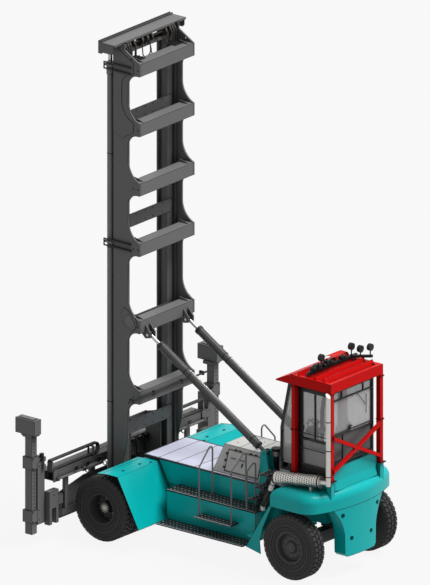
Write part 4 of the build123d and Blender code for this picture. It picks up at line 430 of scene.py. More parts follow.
# %% [markdown]
# ## Hoses
#
# Two hydraulic hoses run to each end of the spreader. Each leaves a post at the end of
# the sleeves, runs in beside the sleeve and turns back over itself in one stiff loop, so
# that it can follow the telescope. A hose of 46 mm with a steel braid hardly sags over
# these lengths. Its line is a smooth NURBS curve through the same route as its solid,
# and the curve's bevel gives it its thickness.

# %% Spreader hoses
HOSE = 0.046         # a spreader hose with its sleeve
HOSE_LINE = ((2.400, 1.483), (1.115, 1.483), (0.905, 1.483), (0.905, 1.693), (1.115, 1.693),
             (2.450, 1.693))  # distance from the truck's middle, height


def hose(name, route, body, diameter=HOSE, replaced=()):
    """A hose along a smooth line whose control points are the route's points."""
    line = bpy.data.curves.new(name, "CURVE")
    line.dimensions = "3D"
    line.bevel_depth = diameter / 2
    line.bevel_resolution = 4
    line.resolution_u = 16
    line.use_fill_caps = True
    run = line.splines.new("NURBS")
    run.points.add(len(route) - 1)
    for spot, place in zip(run.points, route):
        spot.co = (*place, 1.0)
    run.order_u = 3
    run.use_endpoint_u = True
    line.materials.append(finishes["hose_rubber"])
    made = bpy.data.objects.new(name, line)
    bpy.context.scene.collection.objects.link(made)
    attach(made, body)
    if replaced:
        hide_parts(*replaced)
    print(name, "has", len(route), "control points")


for side, sign in SIDES:
    for number, x in ((1, 2.835), (2, 2.885)):
        route = [(x, sign * y, z) for y, z in HOSE_LINE]
        hose(f"spreader_hose_{side}_{number}", route, "carriage", replaced=("spreader_hoses",))

# %% Hoses that hang under the mast's head
for number, x, near, far in ((1, 2.190, -0.230, 0.010), (2, 2.225, -0.010, 0.240)):
    middle = (near + far) / 2
    route = [(2.250, near, 10.150), (x, near, 10.020), (x, near, 9.900), (x, middle, 9.830),
             (x, far, 9.900), (x, far, 10.020), (2.250, far, 10.150)]
    hose(f"head_hose_{number}", route, "inner_mast", diameter=0.024)

# %% [markdown]
# ## The driver's seat
#
# The seat is foam under woven cloth: a cushion that is fullest in its middle and drawn
# in between its corners, a taller back with two sewn channels and a small headrest. A
# crowned form like that could come from a cloth simulation, but behind tinted glass
# plain mesh work reads the same and builds at once: a grid on a box is pushed out
# towards its middle, pinched along the seams and rounded at its rim.

# %% Cushions
def cushion(name, place, size, crown, channels=(), replaced=()):
    """A crowned pad. Its size is across, along and thick, and channels are sewn lines along it (-1 to 1)."""
    shape = bmesh.new()
    bmesh.ops.create_cube(shape, size=2.0)
    bmesh.ops.subdivide_edges(shape, edges=shape.edges[:], cuts=13, use_grid_fill=True)
    for v in shape.verts:
        u, w, t = v.co
        rim = max(abs(u), abs(w))
        # round the outline: corners move in, sides pull in a little between the corners
        corner = (abs(u) * abs(w)) ** 3
        u2 = u * (1 - 0.10 * corner) * (1 - 0.035 * (1 - w * w) * abs(u) ** 6)
        w2 = w * (1 - 0.10 * corner) * (1 - 0.035 * (1 - u * u) * abs(w) ** 6)
        swell = (1 - abs(u) ** 3.2) * (1 - abs(w) ** 3.2)
        height = t * (0.62 + 0.38 * swell ** 0.5) * (1 - 0.12 * rim ** 8)
        if t > 0:
            height += crown * swell
            for line in channels:
                height -= 0.16 * math.exp(-((w - line) / 0.055) ** 2) * (1 - abs(u) ** 8)
            height -= 0.10 * math.exp(-((abs(u) - 0.78) / 0.05) ** 2)
        v.co = Vector((u2 * size[0] / 2, w2 * size[1] / 2, height * size[2] / 2))
    bmesh.ops.transform(shape, matrix=place, verts=shape.verts)
    made = piece(shape, name, "seat_fabric", "chassis", smooth=True, replaced=replaced)
    soften = made.modifiers.new("soften", "SUBSURF")
    soften.levels = soften.render_levels = 1


flat_seat = plane_at((-2.535, 0.030, 2.500), (0, 1, 0), (1, 0, 0), (0, 0, 1))
recline = Vector((-0.090, 0, 0.700)).normalized()
facing = Vector((0.700, 0, 0.090)).normalized()
back_plane = plane_at((-2.7850, 0.030, 2.820), (0, 1, 0), recline, facing)
head_plane = plane_at((-2.8160, 0.030, 3.170), (0, 1, 0), recline, facing)
cushion("seat_cushion", flat_seat, (0.480, 0.470, 0.110), 0.12, channels=(-0.35, 0.35),
        replaced=("driver_seat",))
cushion("seat_back", back_plane, (0.460, 0.560, 0.095), 0.12, channels=(-0.3, 0.3))
cushion("seat_headrest", head_plane, (0.250, 0.150, 0.080), 0.12)

# %% The seat's stand
stand = bmesh.new()
chamfered_box(stand, (-2.730, -0.120, 2.112), (-2.390, 0.180, 2.180), 0.012)
for level in range(7):
    swell = 0.012 if level % 2 else 0.0
    chamfered_box(stand, (-2.700 - swell, -0.100 - swell, 2.180 + 0.030 * level),
                  (-2.420 + swell, 0.160 + swell, 2.210 + 0.030 * level), 0.010)
chamfered_box(stand, (-2.760, -0.180, 2.390), (-2.330, 0.240, 2.440), 0.012)
for y in (-0.215, 0.245):
    chamfered_box(stand, (-2.700, y, 2.640), (-2.430, y + 0.030, 2.690), 0.012)
    chamfered_box(stand, (-2.740, y, 2.430), (-2.700, y + 0.030, 2.680), 0.008)
for y in (-0.030, 0.070):
    bar_between(stand, (-2.818, y, 3.050), (-2.822, y, 3.130), 0.007, 10)
piece(stand, "seat_stand", "console_plastic", "chassis")

# %% [markdown]
# ## Tyres
#
# These are industrial cross-ply tyres, 1.37 m across: a thick sidewall with moulded
# rings, square shoulders and a tread of chunky blocks in three staggered rows. The ring
# profile is turned about the axle, and each block is set on the tread by its angle,
# so the pattern stays even all round. The solids' outline is kept: blocks end at the
# same radius.

# %% Turn the carcass and set the blocks
TYRE_R = 0.685
HALF_WIDE = 0.1875   # half of one tyre's width
TREAD_FLOOR = TYRE_R - 0.030
BLOCK_PITCH = 0.112
BLOCK_SHARE, SHOULDER_SHARE = 0.70, 0.66  # of the pitch that a block fills
BLOCK_LEAN = 0.22    # of the pitch, from one side of a block to the other
BLOCK_ROWS = ((-0.139, -0.056, 0.0), (-0.037, 0.037, 0.5), (0.056, 0.139, 0.0))
CARCASS = (  # distance from the tyre's middle, radius
    (0.117, 0.320), (0.149, 0.345), (0.160, 0.372), (0.151, 0.378), (0.152, 0.388), (0.165, 0.394),
    (0.179, 0.430), (0.169, 0.436), (0.171, 0.446), (0.1835, 0.452), (0.1870, 0.484), (0.1870, 0.512),
    (0.177, 0.517), (0.177, 0.527), (0.1860, 0.532), (0.178, 0.566), (0.168, 0.571), (0.167, 0.582),
    (0.174, 0.588), (0.166, 0.622), (0.160, 0.638), (0.146, TREAD_FLOOR))


def tyre(shape, axle_x, middle_y, turns=96):
    """One tyre about an axle along y: the carcass, then its tread blocks."""
    def at(angle, y, radius):
        return Vector((axle_x + radius * math.cos(angle), middle_y + y, TYRE_R + radius * math.sin(angle)))

    outline = [(-y, r) for y, r in CARCASS] + [(y, r) for y, r in reversed(CARCASS)]
    rings = [[shape.verts.new(at(2 * math.pi * i / turns, y, r)) for i in range(turns)] for y, r in outline]
    skin(shape, rings + rings[:1])
    count = round(2 * math.pi * TYRE_R / BLOCK_PITCH)
    pitch = 2 * math.pi / count
    for near, far, shift in BLOCK_ROWS:
        for k in range(count):
            start = pitch * (k + shift)
            end = start + pitch * BLOCK_SHARE
            lean = pitch * BLOCK_LEAN * (1 if near < 0 else -1)
            corners = ((start, near), (end, near), (end + lean, far), (start + lean, far))
            turned, across = sum(a for a, _ in corners) / 4, sum(y for _, y in corners) / 4
            levels = []
            for radius, share in ((TREAD_FLOOR - 0.004, 1.04), (TYRE_R - 0.005, 1.0), (TYRE_R - 0.001, 0.90)):
                levels.append([shape.verts.new(at(turned + (a - turned) * share,
                                                  across + (y - across) * share, radius))
                               for a, y in corners])
            skin(shape, levels)
            shape.faces.new(levels[-1])
    # shoulder blocks that run down the side of the tread
    for side in (-1, 1):
        for k in range(count):
            start = pitch * k
            angles = (start, start + pitch * SHOULDER_SHARE)
            outer = ((0.1395, TYRE_R - 0.004), (0.150, TYRE_R - 0.022), (0.1635, 0.641), (0.160, 0.632))
            inner = ((0.1395, TREAD_FLOOR - 0.006), (0.146, TREAD_FLOOR - 0.01), (0.155, 0.640),
                     (0.156, 0.632))
            tops = [[shape.verts.new(at(a, side * y, r)) for y, r in outer] for a in angles]
            roots = [[shape.verts.new(at(a, side * y, r)) for y, r in inner] for a in angles]
            for i in range(3):
                shape.faces.new((tops[0][i], tops[0][i + 1], tops[1][i + 1], tops[1][i]))
                for n in (0, 1):
                    shape.faces.new((roots[n][i], roots[n][i + 1], tops[n][i + 1], tops[n][i]))


for side, _ in SIDES:
    for kind, solid, body in (("drive", f"drive_tyres_{side}", f"drive_wheel_{side}"),
                              ("steer", f"steer_tyre_{side}", f"steer_wheel_{side}")):
        low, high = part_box(solid)
        axle_x = (low.x + high.x) / 2
        middles = (low.y + HALF_WIDE, high.y - HALF_WIDE) if kind == "drive" else ((low.y + high.y) / 2,)
        shape = bmesh.new()
        for middle in middles:
            tyre(shape, axle_x, middle)
        piece(shape, f"{kind}_tread_{side}", "tyre_rubber", body, replaced=(solid,))

# %% [markdown]
# ## Wheel nuts, hubs and rim rings
#
# A rim on such a truck is held by a ring of clamp nuts, and the bead is held by a split
# steel ring that shows as a thin line where the rubber ends. The drive hubs end in a
# planetary gear cover with its own bolts and an octagonal filler cap. All of it is
# turned or hexagonal, so each is a disc or a hoop repeated by angle.

# %% Hoops and bolt circles
def hoop(shape, centre, axis, radius, thick, around=64, section=8, flat=1.0):
    """A ring of round or flattened section about an axis."""
    turn = Vector(axis).normalized().to_track_quat("Z", "Y").to_matrix().to_4x4()
    place = Matrix.Translation(Vector(centre)) @ turn
    loops = []
    for i in range(around):
        a = 2 * math.pi * i / around
        loops.append([])
        for j in range(section):
            b = 2 * math.pi * j / section
            reach = radius + thick * math.cos(b)
            loops[-1].append(shape.verts.new(place @ Vector((reach * math.cos(a), reach * math.sin(a),
                                                             thick * flat * math.sin(b)))))
    for i in range(around):
        here, beyond = loops[i], loops[(i + 1) % around]
        for j in range(section):
            k = (j + 1) % section
            shape.faces.new((here[j], beyond[j], beyond[k], here[k]))


def bolt_circle(shape, centre, axis, radius, count, size, height, sides=6, start=0.0):
    """Nuts or bolts spaced evenly on a circle about an axis."""
    axis = Vector(axis).normalized()
    side = axis.orthogonal().normalized()
    for k in range(count):
        way = Matrix.Rotation(start + 2 * math.pi * k / count, 3, axis) @ side
        disc(shape, Vector(centre) + way * radius, axis, size, height, sides, chamfer=0.25)


print("nuts and hoops ready")

# %% Fasteners and rings on the four wheels
DRIVE_X, STEER_X = 2.0, -2.457  # the two axles
zinc = bare_metal("zinc_plated_steel", "#B9B6AE", 0.32, 0.2, 1.0)
worn_iron = enamel("rubbed_iron_paint", "#565656", rough=0.4, corner_shade=0.3, edge=0.2)
for side, sign in SIDES:
    out = (0, sign, 0)
    # drive wheels: twin rims, hub cover with bolts and filler cap
    fixings, rings, cap = bmesh.new(), bmesh.new(), bmesh.new()
    bolt_circle(fixings, (DRIVE_X, sign * 1.5165, TYRE_R), out, 0.162, 12, 0.019, 0.028)
    bolt_circle(fixings, (DRIVE_X, sign * 1.5705, TYRE_R), out, 0.296, 16, 0.009, 0.016)
    bolt_circle(fixings, (DRIVE_X, sign * 1.739, TYRE_R), out, 0.088, 10, 0.010, 0.009)
    for middle in (1.7025, 1.2825):
        for way in (-1, 1):
            hoop(rings, (DRIVE_X, sign * (middle + way * 0.151), TYRE_R), out, 0.331, 0.0075)
    hoop(rings, (DRIVE_X, sign * 1.5705, TYRE_R), out, 0.272, 0.006)
    hoop(cap, (DRIVE_X, sign * 1.741, TYRE_R), out, 0.052, 0.013, around=8, section=8, flat=0.6)
    disc(cap, (DRIVE_X, sign * 1.739, TYRE_R), out, 0.030, 0.012, 8, chamfer=0.3)
    piece(fixings, f"drive_wheel_nuts_{side}", "cast_grey", f"drive_wheel_{side}", finish=zinc)
    piece(rings, f"drive_rim_rings_{side}", "black_paint", f"drive_wheel_{side}", smooth=True)
    piece(cap, f"drive_hub_cap_{side}", "cast_grey", f"drive_wheel_{side}", finish=zinc)
    # steered wheels: clamp nuts on the crest of the disc, rings on the domed cap
    fixings, rings = bmesh.new(), bmesh.new()
    middle = 1.1675  # of the steered tyre
    bolt_circle(fixings, (STEER_X, sign * (middle + 0.092), TYRE_R), out, 0.206, 10, 0.017, 0.022)
    bolt_circle(fixings, (STEER_X, sign * (middle + 0.100), TYRE_R), out, 0.112, 8, 0.008, 0.010)
    hoop(rings, (STEER_X, sign * (middle + 0.151), TYRE_R), out, 0.331, 0.0075)
    hoop(rings, (STEER_X, sign * (middle + 0.066), TYRE_R), out, 0.276, 0.006)
    hoop(rings, (STEER_X, sign * (middle + 0.064), TYRE_R), out, 0.142, 0.007)
    hoop(rings, (STEER_X, sign * (middle + 0.131), TYRE_R), out, 0.050, 0.006)
    piece(fixings, f"steer_wheel_nuts_{side}", "cast_grey", f"steer_wheel_{side}", finish=worn_iron)
    piece(rings, f"steer_rim_rings_{side}", "cast_grey", f"steer_wheel_{side}", finish=worn_iron, smooth=True)

# %% [markdown]
# ## Tread plate on the running boards and steps
#
# The boards are chequered steel: raised lozenges, each a quarter turn from its
# neighbours, painted black and worn bright on their crowns by boots. Real lozenges are
# about 25 mm long. At 20 mm to a pixel they would vanish, so they are made 52 mm long.
# They are a separate piece, pale all over: part wear and part painted glint, because the
# crowns are what shines.

# %% Studs and nosings
LOZENGE = ((-0.026, 0), (-0.010, -0.008), (0.010, -0.008), (0.026, 0), (0.010, 0.008), (-0.010, 0.008))


def tread_studs(shape, low_x, high_x, low_y, high_y, top, pitch=0.088):
    """Lozenges on a level plate between two corners, each a quarter turn from the next."""
    columns = max(1, int((high_x - low_x - 0.02) / pitch))
    rows = max(1, int((high_y - low_y - 0.02) / pitch))
    for i in range(columns):
        for j in range(rows):
            centre = Vector((low_x + (high_x - low_x) * (i + 0.5) / columns,
                             low_y + (high_y - low_y) * (j + 0.5) / rows, top))
            turn = Matrix.Rotation(math.radians(45 if (i + j) % 2 else -45), 3, "Z")
            levels = []
            for share, height in ((1.0, -0.0015), (0.94, 0.0025), (0.62, 0.0045)):
                levels.append([shape.verts.new(centre + turn @ Vector((x * share, y * share, height)))
                               for x, y in LOZENGE])
            skin(shape, levels)
            shape.faces.new(levels[-1])


BOX_REAR, BOX_FRONT = -1.380, 0.914
CAB_TREADS = ((-1.300, 1.400), (-1.480, 1.700), (-1.600, 1.990))  # middle, height
PLATES = [(BOX_REAR, BOX_FRONT, 0.684, 1.090, 1.145),  # rear, front, inner and outer edge, height
          (BOX_REAR + 0.025, BOX_FRONT - 0.020, 1.100, 1.470, 0.525),
          (BOX_REAR + 0.430, 0.0, 1.090, 1.350, 0.830)]
STEPS = [(x - 0.100, x + 0.115, 0.725, 1.085, z) for x, z in CAB_TREADS]
nosing_paint = enamel("pale_nosing_enamel", "#E8E9EE", rough=0.45, corner_shade=0.1, edge=0.1)
# pale lozenges: wear on their crowns, lightened further as a painted glint
worn_and_glinting_steel = enamel("worn_and_glint_painted_tread_steel", "#DAD9D6", primer="#5A5854", rough=0.4, corner_shade=0.1, edge=0.3)
for side, sign in SIDES:
    studs, nosings = bmesh.new(), bmesh.new()
    for low_x, high_x, near, far, top in PLATES + STEPS:
        low_y, high_y = sorted((sign * near, sign * far))
        tread_studs(studs, low_x, high_x, low_y + 0.02, high_y - 0.02, top)
    for low_x, high_x, near, far, top in PLATES:
        low_y, high_y = sorted((sign * (far - 0.012), sign * far))
        chamfered_box(nosings, (low_x, low_y, top - 0.024), (high_x, high_y, top + 0.004), 0.003)
    for x, z in CAB_TREADS:
        low_y, high_y = sorted((sign * 0.725, sign * 1.085))
        chamfered_box(nosings, (x + 0.103, low_y, z - 0.012), (x + 0.115, high_y, z + 0.004), 0.003)
    piece(studs, f"tread_lozenges_{side}", "black_paint", "chassis", finish=worn_and_glinting_steel)
    piece(nosings, f"step_nosings_{side}", "black_paint", "chassis", finish=nosing_paint)

# %% [markdown]
# ## Deck, hood and fenders
#
# The deck is laid in separate plates with a sealing strip in each seam and a dark edge
# along its sides. The hood's sides open: each door has a rubber gasket round it, hinges
# on its front edge and latches above. The fenders carry a row of rivets along their
# front fold. Strips and gaskets stand a few millimetres proud of the plate.

# %% Deck seams and screws
seams = bmesh.new()
for x in (1.47, 1.0, 0.535):
    chamfered_box(seams, (x - 0.006, -0.684, 1.588), (x + 0.006, 0.684, 1.5935), 0.002)
for sign in (1, -1):
    low_y, high_y = sorted((sign * 0.655, sign * 0.690))
    chamfered_box(seams, (-1.147, low_y, 1.562), (1.840, high_y, 1.5945), 0.003)
chamfered_box(seams, (1.815, -0.684, 1.570), (1.840, 0.684, 1.5945), 0.003)
piece(seams, "deck_seals", "hose_rubber", "chassis")
screws = bmesh.new()
for x in (1.78, 1.50, 1.44, 1.03, 0.97, 0.565, 0.505, 0.16):
    for y in (-0.61, -0.31, 0.0, 0.31, 0.61):
        disc(screws, (x, y, 1.5895), (0, 0, 1), 0.010, 0.004, 10, chamfer=0.3)
piece(screws, "deck_screws", "deck_plate", "chassis", finish=zinc)

# %% Hood doors, hinges and latches
for side, sign in SIDES:
    hood_side = plane_at((0.120, sign * 0.600, 1.590), (-1, 0, 0),
                         (0, -sign * 0.200, 0.550), (0, sign * 0.550, 0.200))
    gasket, ironwork, leaf = bmesh.new(), bmesh.new(), bmesh.new()
    near, far, foot, crown = 0.285, 1.165, 0.055, 0.505
    slab(leaf, hood_side, (near + 0.012, foot + 0.012, -0.002), (far - 0.012, crown - 0.012, 0.006))
    strips = (((near - 0.006, foot), (near + 0.010, crown)),
              ((far - 0.010, foot), (far + 0.006, crown)),
              ((near, foot - 0.006), (far, foot + 0.010)),
              ((near, crown - 0.010), (far, crown + 0.006)))
    for low, high in strips:
        slab(gasket, hood_side, (*low, -0.002), (*high, 0.004))
    for height in (0.13, 0.27, 0.41):
        slab(ironwork, hood_side, (near - 0.045, height - 0.022, -0.002),
             (near + 0.020, height + 0.022, 0.014))
    for across in (0.47, 0.58, 0.86, 0.99):
        slab(ironwork, hood_side, (across - 0.032, crown - 0.004, -0.002),
             (across + 0.032, crown + 0.026, 0.014))
    slab(ironwork, hood_side, (0.69, 0.20, 0.0), (0.72, 0.28, 0.022))
    for across in (0.40, 0.63):
        for low, high in ((0.0, 0.02), (0.10, 0.12)):
            slab(ironwork, hood_side, (across + low, 0.33, 0.004), (across + high, 0.345, 0.030))
        slab(ironwork, hood_side, (across, 0.33, 0.026), (across + 0.12, 0.345, 0.038))
    piece(leaf, f"hood_door_{side}", "hood_grey_paint", "chassis")
    piece(gasket, f"hood_gasket_{side}", "hose_rubber", "chassis")
    piece(ironwork, f"hood_hinges_{side}", "black_paint", "chassis")
roof_lines = bmesh.new()
for x in (-0.42, -0.78):
    chamfered_box(roof_lines, (x - 0.005, -0.398, 2.138), (x + 0.005, 0.398, 2.1435), 0.002)
for sign in (1, -1):
    low_y, high_y = sorted((sign * 0.380, sign * 0.392))
    chamfered_box(roof_lines, (-1.147, low_y, 2.138), (-0.034, high_y, 2.1435), 0.002)
    for x in (-0.20, -0.60, -1.0):
        disc(roof_lines, (x, sign * 0.18, 2.139), (0, 0, 1), 0.016, 0.006, 12, chamfer=0.3)
piece(roof_lines, "hood_roof_seams", "hose_rubber", "chassis")

# %% Fender rivets, lips and lugs
for side, sign in SIDES:
    rivets, lip = bmesh.new(), bmesh.new()
    for k in range(21):
        disc(rivets, (1.885, sign * (0.74 + 0.06 * k), 1.504), (0.13, 0, 1), 0.011, 0.007, 8, chamfer=0.35)
    for x, y in ((1.62, 1.08), (1.62, 1.62), (1.52, 0.86)):
        chamfered_box(rivets, (x - 0.02, sign * y - 0.03, 1.524), (x + 0.02, sign * y + 0.03, 1.538), 0.004)
    profile = ((2.0, 1.4915), (1.74, 1.5265), (1.465, 1.5265), (0.914, 0.5015))
    near_y = 1.988 if sign > 0 else -2.0
    for start, end in zip(profile, profile[1:]):
        way = Vector((end[0] - start[0], 0, end[1] - start[1]))
        out = way.cross(Vector((0, 1, 0)))
        edge = plane_at((start[0], near_y, start[1] - 0.001), way, (0, 1, 0), out if out.z > 0 else -out)
        slab(lip, edge, (0.0, 0.0, -0.014), (way.length, 0.012, 0.0015), 0.001)
    piece(rivets, f"fender_rivets_{side}", "black_paint", "chassis")
    piece(lip, f"fender_lip_{side}", "hose_rubber", "chassis")

# %% [markdown]
# ## Cab trim
#
# The cab's roof is bolted down along its edge. Its rear window is crossed by a double
# bar with a small latch, and below the bar the glass has a grey film that hides what
# stands behind it. The door has two grab bars on its outside. The guard's posts are
# joined by bolted flanges, and a small red hatch stands over the roof.

# %% Roof bolts, window bars and film
roof_bolts = bmesh.new()
for k in range(11):
    for y, out in ((0.699, 1), (-0.639, -1)):
        disc(roof_bolts, (-2.98 + 0.098 * k, y, 3.940), (0, out, 0), 0.011, 0.006, 8, chamfer=0.3)
for k in range(12):
    disc(roof_bolts, (-3.059, -0.60 + 0.1145 * k, 3.940), (-1, 0, 0), 0.011, 0.006, 8, chamfer=0.3)
piece(roof_bolts, "cab_roof_bolts", "black_paint", "chassis", finish=zinc)

bars = bmesh.new()
for z in (2.985, 3.035):
    bar_between(bars, (-3.052, -0.582, z), (-3.052, 0.642, z), 0.013, 12)
chamfered_box(bars, (-3.075, 0.085, 3.020), (-3.045, 0.150, 3.130), 0.006)
chamfered_box(bars, (-3.068, 0.040, 3.090), (-3.050, 0.195, 3.106), 0.004)
for y in (-0.58, 0.63):
    chamfered_box(bars, (-3.066, y - 0.025, 2.965), (-3.036, y + 0.025, 3.055), 0.004)
chamfered_box(bars, (-3.056, 0.322, 2.440), (-3.036, 0.342, 2.985), 0.004)
# wiper on the rear window
bar_between(bars, (-3.050, -0.10, 3.765), (-3.046, -0.42, 3.420), 0.007, 8)
bar_between(bars, (-3.046, -0.42, 3.640), (-3.046, -0.42, 3.240), 0.006, 8)
piece(bars, "rear_window_bars", "black_paint", "chassis")

film = bmesh.new()
chamfered_box(film, (-3.0355, -0.578, 2.442), (-3.0305, 0.638, 2.984), 0.001)
film_paint = enamel("grey_window_film", "#5E5F60", rough=0.3, corner_shade=0.2, edge=0.5)
piece(film, "rear_window_film", "cab_glass", "chassis", finish=film_paint)

# %% Door grab bars and seals
door = bmesh.new()
near, far = -2.955, -2.275
for z in (2.655, 2.975):
    bar_between(door, (near, 0.745, z), (far, 0.745, z), 0.011, 10)
    for x in (near + 0.02, far - 0.02):
        bar_between(door, (x, 0.698, z), (x, 0.745, z), 0.009, 8)
chamfered_box(door, (-2.345, 0.698, 3.02), (-2.255, 0.722, 3.12), 0.006)
piece(door, "door_grab_bars", "black_paint", "cab_door")
seals = bmesh.new()
for low_x, high_x, low_z, high_z in ((-2.942, -2.288, 3.837, 3.849), (-2.940, -2.292, 2.292, 2.304),
                                     (-2.940, -2.928, 2.304, 3.84), (-2.302, -2.290, 2.304, 3.84)):
    chamfered_box(seals, (low_x, 0.684, low_z), (high_x, 0.7035, high_z), 0.002)
piece(seals, "door_seals", "hose_rubber", "cab_door")

# %% Guard bolts, hatch and lamps
guard = bmesh.new()
for sign in (1, -1):
    for x in (-2.170, -3.100):
        for z in (3.034, 3.959):
            for dx in (-0.045, 0.045):
                disc(guard, (x + dx, sign * 0.838, z), (0, 0, 1), 0.012, 0.012, 6, chamfer=0.25)
                disc(guard, (x + dx, sign * 0.838, z - 0.024), (0, 0, -1), 0.012, 0.012, 6, chamfer=0.25)
        for z in (4.045, 4.125):
            for dx in (-0.03, 0.03):
                disc(guard, (x + dx, sign * 0.8365, z), (0, sign, 0), 0.011, 0.009, 6, chamfer=0.25)
    for x in (-2.170, -3.100):
        low_y, high_y = sorted((sign * 0.690, sign * 0.885))
        chamfered_box(guard, (x - 0.095, low_y, 2.098), (x + 0.080, high_y, 2.112), 0.003)
        for dx in (-0.075, 0.060):
            disc(guard, (x + dx, sign * 0.862, 2.111), (0, 0, 1), 0.013, 0.014, 6, chamfer=0.25)
piece(guard, "guard_bolts", "black_paint", "chassis")

hatch = bmesh.new()
outline = ((-2.46, 4.300), (-2.42, 4.350), (-2.24, 4.350), (-2.14, 4.300))
for (x0, z0), (x1, z1) in zip(outline, outline[1:]):
    way = Vector((x1 - x0, 0, z1 - z0))
    slab(hatch, plane_at((x0, -0.60, z0), way, (0, 1, 0), way.cross(Vector((0, 1, 0)))), (0, 0, -0.004),
         (way.length, 0.42, 0.004), 0.001)
for x in (-2.44, -2.30):
    for y in (-0.57, -0.21):
        bar_between(hatch, (x, y, 4.185), (x, y, 4.346), 0.009, 8)
piece(hatch, "roof_hatch_cover", "guard_red_paint", "chassis")

silvered = bare_metal("silvered_lamp_reflector", "#E6E4DC", 0.08, 0.1, 1.0)
LAMP_BAR_X, LAMP_BAR_TOP = -2.500, 4.300
LAMPS = ((0, 0.347, 4.502), (0, 0.530, 4.332), (0, -0.620, 4.484), (-0.120, -0.760, 4.420),
         (-0.280, -0.880, 4.459))  # x from the lamp bar, y, z
lenses, bezels = bmesh.new(), bmesh.new()
for dx, y, z in LAMPS:
    face = (LAMP_BAR_X + dx + 0.0345, y, z)
    disc(lenses, face, (1, 0, 0), 0.062, 0.004, 32, chamfer=0.2)
    hoop(bezels, (face[0] + 0.001, y, z), (1, 0, 0), 0.068, 0.006, 40)
    for turn in range(5):
        hoop(bezels, (face[0] - 0.055 - 0.003 * turn, y, z), (1, 0, 0), 0.073 - 0.010 * turn, 0.003, 32, 6)
    chamfered_box(bezels, (face[0] - 0.045, y - 0.012, z - 0.085),
                  (face[0] - 0.025, y + 0.012, z - 0.070), 0.003)
piece(lenses, "lamp_reflectors", "exhaust_steel", "chassis", finish=silvered)
piece(bezels, "lamp_bezels", "black_paint", "chassis", smooth=True)

# %% [markdown]
# ## Exhaust heat shield and clamps
#
# The muffler wears a perforated shield. Punching some three hundred true holes would
# cost many faces for marks a pixel wide, so each hole is a shallow disc painted dark, as
# painted shade in the hole, set in staggered rows by angle and by length. Band clamps
# hold the shield at both ends and the stack at its joints.

# %% Dimples and band clamps
front, rear = Vector((-1.850, 1.030, 1.990)), Vector((-2.930, 0.880, 2.080))
way = (rear - front).normalized()
across = way.cross(Vector((0, 0, 1))).normalized()
above = across.cross(way).normalized()
HOLE_ROWS, HOLES_ROUND = 17, 18
hole_shade_discs, clamps = bmesh.new(), bmesh.new()
for row in range(HOLE_ROWS):
    for k in range(HOLES_ROUND):
        angle = 2 * math.pi * (k + 0.5 * (row % 2)) / HOLES_ROUND
        out = across * math.cos(angle) + above * math.sin(angle)
        centre = front + way * (0.095 + 0.056 * row) + out * 0.1292
        # each hole is a disc painted dark: painted shade in the hole
        disc(hole_shade_discs, centre, out, 0.0155, 0.0022, 8, chamfer=0.2)
piece(hole_shade_discs, "muffler_shield_holes", "black_paint", "chassis")
for share in (0.012, 0.965):
    centre = front + (rear - front) * share
    hoop(clamps, centre, way, 0.130, 0.011, 48, 8, flat=1.8)
    crown = centre + above * 0.13
    chamfered_box(clamps, crown - Vector((0.03, 0.012, 0.0)), crown + Vector((0.03, 0.012, 0.03)), 0.004)
for z in (2.250, 2.805, 3.420):
    hoop(clamps, (-3.150, 0.930, z), (0, 0, 1), 0.050, 0.006, 36, 8, flat=2.0)
    chamfered_box(clamps, (-3.150, 0.815, z - 0.012), (-3.138, 0.885, z + 0.012), 0.003)
elbow = Vector((-1.870, 1.030, 1.990))
inlet = (Vector((-1.400, 0.860, 1.235)) - elbow).normalized()
for reach in (0.20, 0.72):
    hoop(clamps, elbow + inlet * reach, inlet, 0.055, 0.007, 36, 8, flat=2.0)
disc(clamps, elbow + inlet * 0.38, inlet, 0.0585, 0.50, 32, chamfer=0.02)
piece(clamps, "exhaust_clamps", "black_paint", "chassis", smooth=True)

# %% Shield ribs and the air intake's louvres
ribs = bmesh.new()
for share in (0.06, 0.50, 0.93):
    hoop(ribs, front + (rear - front) * share, way, 0.130, 0.004, 48, 6, flat=1.6)
for k in range(5):
    hoop(ribs, (-1.350, 0.370, 2.195 + 0.020 * k), (0, 0, 1), 0.130, 0.003, 48, 6)
piece(ribs, "shield_ribs", "exhaust_steel", "chassis", smooth=True)

# %% [markdown]
# ## Cylinder collars and mast fittings
#
# Each tilt cylinder has a black gland nut where its rod comes out, a ring where its hose
# port sits and a black band round its eye. The lift barrels carry a gland and a lock
# ring. The crossbeams are bolted to the uprights, and a cover plate sits beside each
# tilt bracket. All of these are small, so they stay in one piece per body and finish.

# %% Collars on the tilt cylinders
LOWER, UPPER = Vector((-1.280, 0, 2.270)), Vector((1.735, 0, 4.155))  # its two pins
TILT_Y = 0.614       # distance of a tilt cylinder from the truck's middle
tilt_way = (UPPER - LOWER).normalized()
tilt_length = (UPPER - LOWER).length
COLLARS = ((tilt_length - 0.372, 0.093, 0.070), (2.430, 0.0895, 0.030), (2.300, 0.0895, 0.022),
           (0.400, 0.0895, 0.030), (0.212, 0.091, 0.040))  # distance up the line, radius, length


def on_line(sign, reach):
    """The point this far up the middle line of one side's tilt cylinder."""
    return LOWER + tilt_way * reach + Vector((0, sign * TILT_Y, 0))


